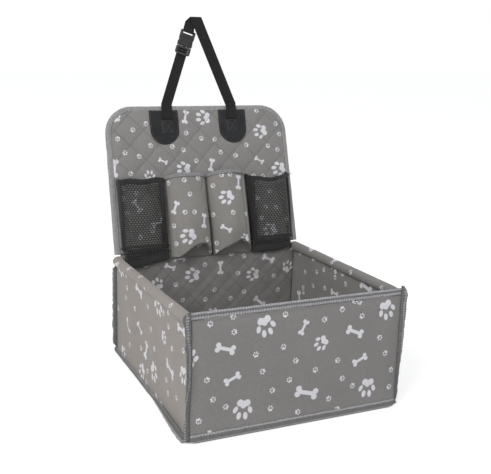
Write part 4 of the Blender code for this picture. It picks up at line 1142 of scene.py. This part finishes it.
def back_panel():
    inset = low = 0.0088

    def quilt(u, v):
        s = panel_rows(v, inset, low)
        x = panel_width(s, inset) * (2 * u - 1)
        edge = min(1.0, 20 * u, 20 * (1 - u), 14 * v, 14 * (1 - v))
        rise = 0.0021 * edge * quilt_puff(x, s) + 0.0006 * ripple(x * 14, s * 14, 5) * edge
        return on_panel(x, 0.0043 + rise, s), (x, s)

    def held(point):
        offset = point - on_panel(0, 0, 0)
        x, s = offset.x, offset.dot(PANEL_UP)
        near_edge = abs(x) > panel_width(min(s, 0.31), inset + 0.004) or s > 0.310 or s < 0.012
        under_pockets = s < 0.15 and abs(x) < 0.208
        return 1.0 if near_edge or under_pockets or quilt_puff(x, s) < 0.34 else 0.0

    item = surface("back_panel_pad", 120, 96, quilt)
    lay_print(item, PANEL)
    puff(item, held, 2.5, 0.0016)
    thicken(item, 0.0028)
    fit(item, panel_print, "printed_cloth", "back_panel", "back_panel_quilt")

    def rear(u, v):
        s = panel_rows(v, inset, low)
        x = panel_width(s, inset) * (1 - 2 * u)
        n = -0.0037 - 0.0005 * ripple(x * 15, s * 15, 8) * hump(u) * hump(v)
        return on_panel(x, n, s), (x, s)

    item = surface("back_panel_rear_cloth", 80, 70, rear)
    thicken(item, 0.0018)
    fit(item, rear_cloth, "plain_cloth", "back_panel", "back_panel_backing")


def panel_edge(v):
    """Point of the panel's edge and its inward way, from lower left round to lower right."""
    straight = SHOULDER + TAPE_TAIL
    flat_half = PANEL_HALF_TOP - PANEL_CORNER
    arc = 0.5 * math.pi * PANEL_CORNER
    lengths = [straight, arc, 2 * flat_half, arc, straight]
    d = v * sum(lengths)
    part = 0
    while part < 4 and d > lengths[part]:
        d -= lengths[part]
        part += 1
    t = d / lengths[part]
    side = -1 if part < 2 else 1
    if part in (0, 4):
        s = mix(-TAPE_TAIL, SHOULDER, t if part == 0 else 1 - t)
        return (side * (panel_half(max(s, 0.0)) - 0.10 * max(-s, 0.0)), s), (-side, 0.0)
    if part == 2:
        return (mix(-1, 1, t) * flat_half, PANEL_LENGTH), (0.0, -1.0)
    angle = math.radians((180 if side < 0 else 90) - 90 * t)
    c, s = math.cos(angle), math.sin(angle)
    return (side * flat_half + PANEL_CORNER * c, SHOULDER + PANEL_CORNER * s), (-c, -s)


def panel_tape():
    """The tape folded over the panel's edge."""
    length = 2 * (0.261 + 0.099) + 0.317

    def path(v):
        (x, s), (inward_x, inward_s) = panel_edge(v)
        loose = 0.0004 * ripple(v * 40, 3, 3)
        edge = on_panel(x - inward_x * loose, 0.0, s - inward_s * loose)
        return edge, ACROSS * inward_x + PANEL_UP * inward_s, PANEL_OUT

    item = folded_tape("panel_edge_tape", path, length, 320, 0.0116, 0.0048, 0.00035, 2.0)
    return fit(item, edge_tape, "grey_binding", "back_panel", "back_panel_binding")


def fold_cloth():
    """The cloth that joins the wall to the panel, wrapped round the fold between them."""
    half, offcut = 0.2139, 0.6

    def spot(u, v):
        x = mix(-half, half, v)
        angle = 2 * math.pi * u
        c, s = math.cos(angle), math.sin(angle)
        n = signed(c, 0.5) * (0.0044 + 0.0003 * ripple(x * 40, c, s))
        flat = (v * 2 * half + offcut, u * 0.03)
        return on_panel(x, n, 0.0012 + s * (0.0075 if s > 0 else 0.0052)), flat

    item = surface("fold_cloth", 16, 110, spot, ring=True)
    lay_print(item, FRONT)
    bend = ("box", "back_panel", on_panel(0, 0, -0.004), on_panel(0, 0, 0.008))
    fit(item, front_print, "printed_cloth", bend, "back_fold_strip")
    return item


# Pockets


def bottle_point(side, u, v):
    """Point of a bottle pocket and of its pattern. It is sewn to the wall below the fold, and its
    slack front rides up over the middle in a lip with a tuck under it."""
    lip, deep, shallow = 0.27, 0.0325, 0.0250
    if side < 0:
        arch = ease((u - 0.22) / 0.38) * ease((0.99 - u) / 0.30)
        steep = 0.80 if u < 0.5 else 0.60
        rise = 0.0255
    else:
        arch = min(max((u - 0.14) / 0.49, 0.0), 1.0) * min(max((1.0 - u) / 0.36, 0.0), 1.0)
        steep = 1.30 if u < 0.5 else 0.65
        rise = 0.0290
    bow = hump(u) ** steep
    x = side * BOTTLE_CENTRE - BOTTLE_HALF * math.cos(math.pi * u)
    lip_n, lip_s = deep * bow, POCKET_SEAM + 0.0022 + rise * arch
    if v < lip:
        t = v / lip
        n = mix(-0.0040, lip_n, t**2.6) + 0.0095 * arch * bow * hump(t) ** 0.8
        s = mix(POCKET_SEAM, lip_s, math.sin(0.5 * math.pi * t))
        lay = lip_s - 0.038 * (1 - t)
    else:
        t = (v - lip) / (1 - lip)
        s = mix(lip_s, POCKET_TOP + (0.0050 if side < 0 else 0.0080) * hump(u) ** 0.8, t)
        full = mix(deep, shallow, ease(t)) + 0.0040 * hump(min(t / 0.7, 1.0))
        wave = 0.0026 * ripple(u * 2.6, t * 3.0, side * 2) + 0.0010 * ripple(u * 7, t * 6, side)
        if side < 0:
            fold = 0.0028 * ridge(u - 0.83 - 0.45 * (t - 0.92), 0.035) * ease((t - 0.66) / 0.2)
            fold += 0.0040 * ridge(u - 0.20 + 0.10 * t, 0.05) * (1 - ease((t - 0.35) / 0.3))
            fold += 0.0020 * ridge(u - 0.10 - 0.30 * (0.78 - t), 0.04) * ease((t - 0.4) / 0.2)
        else:
            fold = 0.0044 * ridge(u - 0.80 + 0.05 * (1 - t), 0.028) * ease(t / 0.15)
            fold += 0.0024 * ridge(u - 0.62 - 0.30 * (0.3 - t), 0.05) * (1 - ease((t - 0.25) / 0.2))
        n = (full + wave - fold) * bow
        lay = s
    around = side * BOTTLE_CENTRE + (u - 0.5) * BOTTLE_CLOTH - 0.00326 * math.sin(2 * math.pi * u)
    return on_panel(x, POCKET_BASE + n, s), (around, lay)


def top_edge_way(point, v, step):
    """The way along a pocket's top edge, point(v), at v."""
    return (point(min(v + step, 1.0)) - point(max(v - step, 0.0))).normalized()


def bottle_pocket(word, side):
    item = surface(f"{word}_bottle_cloth", 56, 76, lambda u, v: bottle_point(side, u, v))
    lay_print(item, POCKETS)
    thicken(item, CLOTH, -1.0, 1)
    bend = ("box", "back_panel", on_panel(0, 0.01, -0.018), on_panel(0, 0.01, 0.012))
    fit(item, pocket_print, "printed_cloth", bend, f"{word}_bottle_pocket")

    def top(v):
        return bottle_point(side, v, 1.0)[0]

    def path(v):
        out = top_edge_way(top, v, 0.01).cross(PANEL_UP).normalized()
        return top(v) + PANEL_UP * 0.0010, -PANEL_UP, out

    trim = folded_tape(f"{word}_bottle_tape", path, 0.125, 70, 0.0076, 0.0018, 0.00025, 3.0 + side)
    fit(trim, pocket_tape, "grey_binding", "back_panel", f"{word}_bottle_binding")


# Folds that lie over a net: place across at half height, slant and depth
NET_FOLDS = ((0.70, 0.30, 0.0040), (0.84, -0.10, 0.0026), (0.22, 0.15, 0.0022))


def net_point(side, u, v, lift=0.0):
    """Point of a net pocket; u runs across it from the left and v up it."""
    swell = math.sin(0.5 * math.pi * min(1.0, 0.10 + 1.15 * v))
    full = 0.0075 + 0.0165 * swell * min(1.0, 0.20 + 2.0 * v)
    bow = hump(u) ** (0.55 if (u < 0.5) == (side < 0) else 0.75)
    fold = 0.0
    for middle, slant, depth in NET_FOLDS:
        off = u - middle - slant * (0.5 - v)
        fold += depth * (ridge(off - 0.05, 0.03) - ridge(off, 0.03))
    wave = 0.0016 * ripple(u * 6, v * 3, side * 4)
    sag = 0.0130 if side > 0 else 0.0030
    top = POCKET_TOP - sag * hump(u) - 0.0015 * math.sin(5 * math.pi * u) * hump(u)
    n = POCKET_BASE + (full + lift) * bow + (fold + wave) * bow
    return on_panel(side * NET_CENTRE - NET_HALF * math.cos(math.pi * u), n, mix(0.0040, top, v))


def net_pocket(word, side, foot_level):
    """A net with its bound top, side tapes and gathered foot, which reaches down to
    foot_level(x)."""
    columns, rows = 60, 50

    def spread(u, v):
        return net_point(side, u, v), (u * NET_WIDE + 0.3 * (side + 1), v * NET_TALL)

    item = surface(f"{word}_net", columns, rows, spread)
    doubled = item.data.attributes.new("band", "FLOAT", "POINT")
    for i in range(len(item.data.vertices)):
        across, high = i % (columns + 1) / columns, i // (columns + 1) / rows
        near = min(abs(across - middle - slant * (0.5 - high)) for middle, slant, _ in NET_FOLDS)
        doubled.data[i].value = 0.62 * ease((0.016 - near) / 0.014)
    fit(item, black_net, "black_net", "back_panel", f"{word}_mesh_net")

    def top(v):
        return net_point(side, v, 1.0)

    def path(v):
        along = top_edge_way(top, v, 0.02)
        out = along.cross(PANEL_UP).normalized()
        inward = along.cross(out).normalized()
        inward *= math.copysign(1, -inward.dot(PANEL_UP))
        return top(v) - inward * 0.0008, inward, out

    wide = 0.0125 if side < 0 else 0.0088
    trim = folded_tape(f"{word}_net_top_tape", path, NET_WIDE, 60, wide, 0.0016, 0.0006, 5.0 + side)
    fit(trim, black_tape, "black_binding", "back_panel", f"{word}_mesh_top_binding")

    inner = (0.0, 0.22) if side > 0 else (0.76, 1.0)
    outer = (0.90, 1.0) if side > 0 else (0.0, 0.13)
    for label, (first, last) in (("inner", inner), ("outer", outer)):

        def strip(u, v, first=first, last=last):
            edge = 0.025 * ripple(v * 9, side, 3) * (1 - abs(2 * u - 1))
            here = net_point(side, mix(first, last, u) + edge, v, 0.0010)
            lift = 0.0008 + 0.0010 * ripple(v * 16, u * 3, side)
            return here + PANEL_OUT * lift, (v * NET_TALL, (u - 0.5) * 0.014)

        trim = surface(f"{word}_net_{label}_side_tape", 10, 60, strip)
        thicken(trim, 0.0010, 1.0)
        fit(trim, black_tape, "black_binding", "back_panel")

    def foot(u, v):
        """The gathered foot; its level runs from 0 at its lower edge to 1 at the top."""
        c, s = math.cos(2 * math.pi * u), math.sin(2 * math.pi * u)
        x = side * mix(NET_FOOT_IN, NET_FOOT_OUT, v)
        level = 0.5 + 0.5 * signed(s, 0.7)
        at = mix(foot_level(abs(x)) + 0.0010 * ripple(x * 60, 1, 1), 0.0120, level)
        gather = 0.0014 * ripple(x * 240, level, 2) + 0.0012 * ripple(x * 80, level * 2, 5)
        full = 0.0030 + 0.0030 * hump(level) * hump(v) ** 0.3
        middle = POCKET_BASE + 0.0028 + 0.10 * min(at, 0.0)
        middle += 0.0040 * hump(v) ** 0.5 * ease((at + 0.012) / 0.02)
        n = middle + 0.5 * full * signed(c, 0.7) + gather * (1.0 if c > 0 else 0.4)
        return on_panel(x, n, at), (v * 0.10, level * 0.034 + (0.05 if c < 0 else 0.0))

    hem = surface(f"{word}_net_foot", 24, 110, foot, ring=True)
    solid = hem.data.attributes.new("band", "FLOAT", "POINT")
    for i, vert in enumerate(hem.data.vertices):
        x, s = abs(vert.co.x), (vert.co - on_panel(vert.co.x, 0, 0)).dot(PANEL_UP)
        sewn_end = abs(x - 0.5 * (NET_FOOT_IN + NET_FOOT_OUT)) > 0.0455
        ragged = 0.0150 + 0.0012 * ripple(x * 200, 3, side)
        solid.data[i].value = 1.0 if sewn_end else ease((foot_level(x) + ragged - s) / 0.0020)
    bend = ("box", "back_panel", on_panel(0, 0.01, -0.022), on_panel(0, 0.01, 0.010))
    fit(hem, black_net, "black_binding", bend, f"{word}_mesh_hem")


# Leather patches and strap


def strap_patch(word, centre, strap):
    """A tab with a slit above and a swelling where the webbing runs down under it."""
    half, top, bottom = 0.0340, 0.3112, 0.2340
    slit = (0.2895, 0.2960)
    shift = strap - centre
    bm = bmesh.new()
    bmesh.ops.create_grid(bm, x_segments=68, y_segments=76, size=0.5)
    layer = bm.loops.layers.uv.new("flat")
    rims = bm.verts.layers.float.new("rim")

    def spot(co):
        s = mix(bottom, top, co.y + 0.5)
        width = math.sqrt(max(half**2 - min(s - bottom - half, 0.0) ** 2, 0.0))
        return 2 * co.x * max(width, 0.0015), s

    gone = []
    for face in bm.faces:
        x, s = spot(face.calc_center_median())
        if slit[0] < s < slit[1] and abs(x - shift) < 0.0130:
            gone.append(face)
    for vert in bm.verts:
        x, s = spot(vert.co)
        for loop in vert.link_loops:
            loop[layer].uv = (x - shift, s - CROSS_S)
        rim = min(half - math.hypot(x, min(s - bottom - half, 0.0)), top - s)
        vert[rims] = rim
        across = ease((0.0150 - abs(x - shift)) / 0.0030)
        raised = ease((s - 0.2560) / 0.004) * ease((slit[0] + 0.0010 - s) / 0.0015)
        n = POCKET_BASE + 0.0016 + 0.0017 * across * raised
        n += 0.0003 * ripple(x * 60, s * 60, centre * 9) - 0.0006 * ease((0.0016 - rim) / 0.0016)
        vert.co = on_panel(centre + x, n, s)
    bmesh.ops.delete(bm, geom=gone, context="FACES")
    item = make(bm, f"{word}_leather_patch")
    thicken(item, 0.0015)
    return fit(item, black_leather, "black_leather", "back_panel", f"{word}_strap_patch")


def leg_frame(side):
    """A strap leg's foot from the middle of the pivot, the way up along it and across it."""
    angle = math.atan(LEFT_SLOPE) if side < 0 else math.atan2(RIGHT_FOOT - APEX, STRAP_RISE)
    foot = Vector((LEFT_FOOT if side < 0 else RIGHT_FOOT, 0, 0))
    along = Vector((-side * math.sin(angle), 0, math.cos(angle)))
    return foot, along, Vector((along.z, 0, -along.x))


def ribbon(name, stations, rows=6):
    """Webbing through stations of (left edge, right edge, way through), with soft edges."""
    middles = [(a + b) / 2 for a, b, _ in stations]
    reach = [0.0]
    for a, b in zip(middles, middles[1:]):
        reach.append(reach[-1] + (b - a).length)

    def place(u, v):
        d = v * (len(stations) - 1)
        i = min(int(d), len(stations) - 2)
        left, right, through = [p.lerp(q, d - i) for p, q in zip(stations[i], stations[i + 1])]
        a, b = edge_ring(u, 0.35)
        thick = WEBBING_HALF_THICK * (1 - 0.35 * abs(2 * a - 1) ** 8)
        flat = (mix(reach[i], reach[i + 1], d - i), a * WEBBING)
        return left.lerp(right, a) + through.normalized() * (b * thick), flat

    return surface(name, 20, rows * (len(stations) - 1), place, ring=True)


def foot_stations(x):
    """Webbing from under the tab, out of its slit and up to the panel's top edge."""
    under, half = POCKET_BASE + 0.0007, WEBBING / 2
    route = [(0.2610, under), (0.2800, under), (0.2897, under), (0.2915, mix(STRAP_N, under, 0.7))]
    route += [(0.2935, mix(STRAP_N, under, 0.22)), (0.2955, STRAP_N), (0.3070, STRAP_N), (0.3190, STRAP_N)]
    stations = []
    for i, (s, n) in enumerate(route):
        a, b = route[max(i - 1, 0)], route[min(i + 1, len(route) - 1)]
        slope = PANEL_UP * (b[0] - a[0]) + PANEL_OUT * (b[1] - a[1])
        through = slope.cross(ACROSS).normalized()
        stations.append((on_panel(x - half, n, s), on_panel(x + half, n, s), through))
    return stations


def strap_pieces():
    pivot = on_panel(0, STRAP_N, STRAP_S)
    start, end = on_panel(0, STRAP_N, 0.3215), pivot + UP * 0.0060

    def edges(side):
        """The two edges of a leg at its foot, and the way up along it."""
        foot, along, wide = leg_frame(side)
        return [pivot + foot + wide * (sign * WEBBING / 2) for sign in (-1, 1)], along

    def across(side, distance, y=0.0):
        """The two edges of a leg, square to it, at a distance up from its foot."""
        pair, along = edges(side)
        return [edge + along * distance + BACK * y for edge in pair]

    def level(side, z):
        """The two edges of a leg at one height over the pivot."""
        pair, along = edges(side)
        return [edge + along * ((z - (edge - pivot).z) / along.z) for edge in pair]

    near_foot = (0.0025, 0.0080, 0.0300)
    stations = foot_stations(LEFT_FOOT)
    stations += [(*level(-1, z), BACK) for z in near_foot]
    stations += [(*across(-1, d), BACK) for d in (0.07, 0.11, BUCKLE_ALONG - 0.0004)]
    blend = ("back_panel", "left_leg", start, end)
    item = ribbon("left_webbing", stations)
    fit(item, black_webbing, "webbing", blend, "left_strap_foot", "strap_left_leg")

    stations = foot_stations(RIGHT_FOOT)
    stations += [(*level(1, z), BACK) for z in (*near_foot, 0.07, 0.12, 0.17, STRAP_RISE - 0.001)]
    fold, radius = level(1, STRAP_RISE), 0.0008
    for i in range(7):
        angle = math.pi * i / 6
        shift = BACK * radius * (1 - math.cos(angle)) + UP * (radius * math.sin(angle))
        through = BACK * math.cos(angle) - UP * math.sin(angle)
        stations.append((fold[0] + shift, fold[1] + shift, through))
    bar = BUCKLE_ALONG + SOCKET - BAR_RADIUS
    wrap = BAR_RADIUS + 0.0003 + WEBBING_HALF_THICK

    def lying(share):
        """How far back the webbing lies, from round the bar, 0, to flat on the other leg, 1."""
        return mix(BUCKLE_Y + wrap, 0.0016, share)

    for distance, share in ((0.020, 0.95), (0.012, 0.7), (0.0045, 0.12)):
        stations.append((*across(-1, bar + distance, lying(share)), -BACK))
    centre, along = across(-1, bar), leg_frame(-1)[1]
    for i in range(9):
        angle = math.pi * i / 8
        shift = BACK * (BUCKLE_Y + wrap * math.cos(angle)) - along * (wrap * math.sin(angle))
        through = along * math.sin(angle) - BACK * math.cos(angle)
        stations.append((centre[0] + shift, centre[1] + shift, through))
    stations.append((*across(-1, bar + 0.0085, lying(0.4) - 0.0016), BACK))
    blend = ("back_panel", "strap", start, end)
    item = ribbon("right_webbing", stations)
    fit(item, black_webbing, "webbing", blend, "right_strap_foot", "strap_loop")


def finish_solids():
    """The solids that stay as they are get their finishes."""
    for finish, names in (
        (buckle_plastic, ("buckle_socket", "buckle_plug", "buckle_left_prong", "buckle_right_prong")),
        (tube_plastic, ("left_support_rod", "right_support_rod")),
        (board_fibre, ("base_board", "front_panel_board", "back_panel_board")),
    ):
        for name in names:
            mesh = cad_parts[name].data
            mesh.materials.clear()
            mesh.materials.append(finish.material)


# Floor, light and camera


def stage():
    """A white floor and world, which show lighter to the camera than they shine."""
    half = 9.0
    floor = surface(
        "studio_floor", 1, 1, lambda u, v: (Vector((mix(-half, half, u), mix(-half, half, v), 0.0)), (u, v))
    )
    f = Finish("studio_floor", Base_Color=(0.62, 0.62, 0.62), Roughness=0.9, Specular_IOR_Level=0.1)
    ray = f.tree.nodes.new("ShaderNodeLightPath")
    seen = Value(f, ray.outputs["Is Camera Ray"]) + Value(f, ray.outputs["Is Glossy Ray"])
    seen = seen + Value(f, ray.outputs["Is Transmission Ray"])
    f.set(Emission_Color=f.mix(seen, (0, 0, 0), (0.60, 0.60, 0.60)), Emission_Strength=1.0)
    floor.data.materials.append(f.material)

    world = bpy.data.worlds.new("studio")
    bpy.context.scene.world = world
    world.use_nodes = True
    nodes, links = world.node_tree.nodes, world.node_tree.links
    nodes.clear()
    kinds = ("OutputWorld", "LightPath", "MixShader", "Background", "Background", "Math")
    out, ray, shade, light, shown, direct = [nodes.new(f"ShaderNode{kind}") for kind in kinds]
    light.inputs[0].default_value = (0.98, 0.99, 1.0, 1)
    light.inputs[1].default_value = 0.62
    shown.inputs[0].default_value = (1, 1, 1, 1)
    direct.operation = "MAXIMUM"
    links.new(ray.outputs["Is Camera Ray"], direct.inputs[0])
    links.new(ray.outputs["Is Transmission Ray"], direct.inputs[1])
    for socket, source in enumerate((direct, light, shown)):
        links.new(source.outputs[0], shade.inputs[socket])
    links.new(shade.outputs[0], out.inputs[0])


def lamp(name, place, target, size, power, colour):
    data = bpy.data.lights.new(name, "AREA")
    data.shape = "DISK"
    data.size = size
    data.energy = power
    data.color = colour
    item = bpy.data.objects.new(name, data)
    bpy.context.scene.collection.objects.link(item)
    item.location = place
    item.rotation_euler = (Vector(target) - Vector(place)).to_track_quat("-Z", "Y").to_euler()


def studio_camera():
    """The photograph's view: where it stands, what it looks at, and its slight roll."""
    place, target = Vector((-0.7250, -1.4950, 0.7418)), Vector((-0.016, 0, 0.306))
    roll = math.radians(2.199)
    ahead = (target - place).normalized()
    right = ahead.cross(UP).normalized()
    above = right.cross(ahead)
    side = right * math.cos(roll) + above * math.sin(roll)
    top = above * math.cos(roll) - right * math.sin(roll)
    data = bpy.data.cameras.new("camera")
    data.sensor_width = 36.0
    data.lens = 61.944
    item = bpy.data.objects.new("camera", data)
    bpy.context.scene.collection.objects.link(item)
    rotation = Matrix((side, top, -ahead)).transposed()
    item.matrix_world = Matrix.Translation(place) @ rotation.to_4x4()
    bpy.context.scene.camera = item


side_cloth("left", -1, left_print, LEFT)
side_cloth("right", 1, right_print, RIGHT)
front_cover()
front_tape()
flange("front_left", -1, left_forward, left_corner, 0.0085, FRONT_HEIGHT + 0.0030, left_reach)
flange("front_right", 1, lambda z: -1.0, right_corner, 0.0085, FRONT_HEIGHT + 0.0055, right_reach)
for word, side in (("left", -1), ("right", 1)):
    flange(
        f"rear_{word}", side, lambda z: 0.35, lambda z, side=side: (side * 0.2172, BACK_Y - 0.0006, z),
        0.0110, WALL_STEP, lambda z: 0.0112,
    )
bottom_binding()
base_pieces()
back_wall()
back_panel()
panel_tape()
fold_cloth()
bottle_pocket("left", -1)
bottle_pocket("right", 1)
net_pocket("left", -1, lambda x: mix(-0.0240, -0.0345, ease((x - NET_FOOT_IN) / 0.075)))
net_pocket("right", 1, lambda x: mix(-0.0245, -0.0165, ease((x - 0.165) / 0.045)))
strap_patch("left", -0.0855, LEFT_FOOT)
strap_patch("right", 0.0815, RIGHT_FOOT)
strap_pieces()
finish_solids()
stage()
lamp("key", (-2.2, -1.6, 2.3), (-0.1, 0, 0.2), 1.6, 62, (1.0, 0.985, 0.96))
lamp("fill", (2.4, -1.8, 1.4), (0, 0, 0.2), 2.0, 10, (0.97, 0.98, 1.0))
studio_camera()

scene = bpy.context.scene
scene.view_settings.view_transform = "Standard"
bpy.context.view_layer.update()
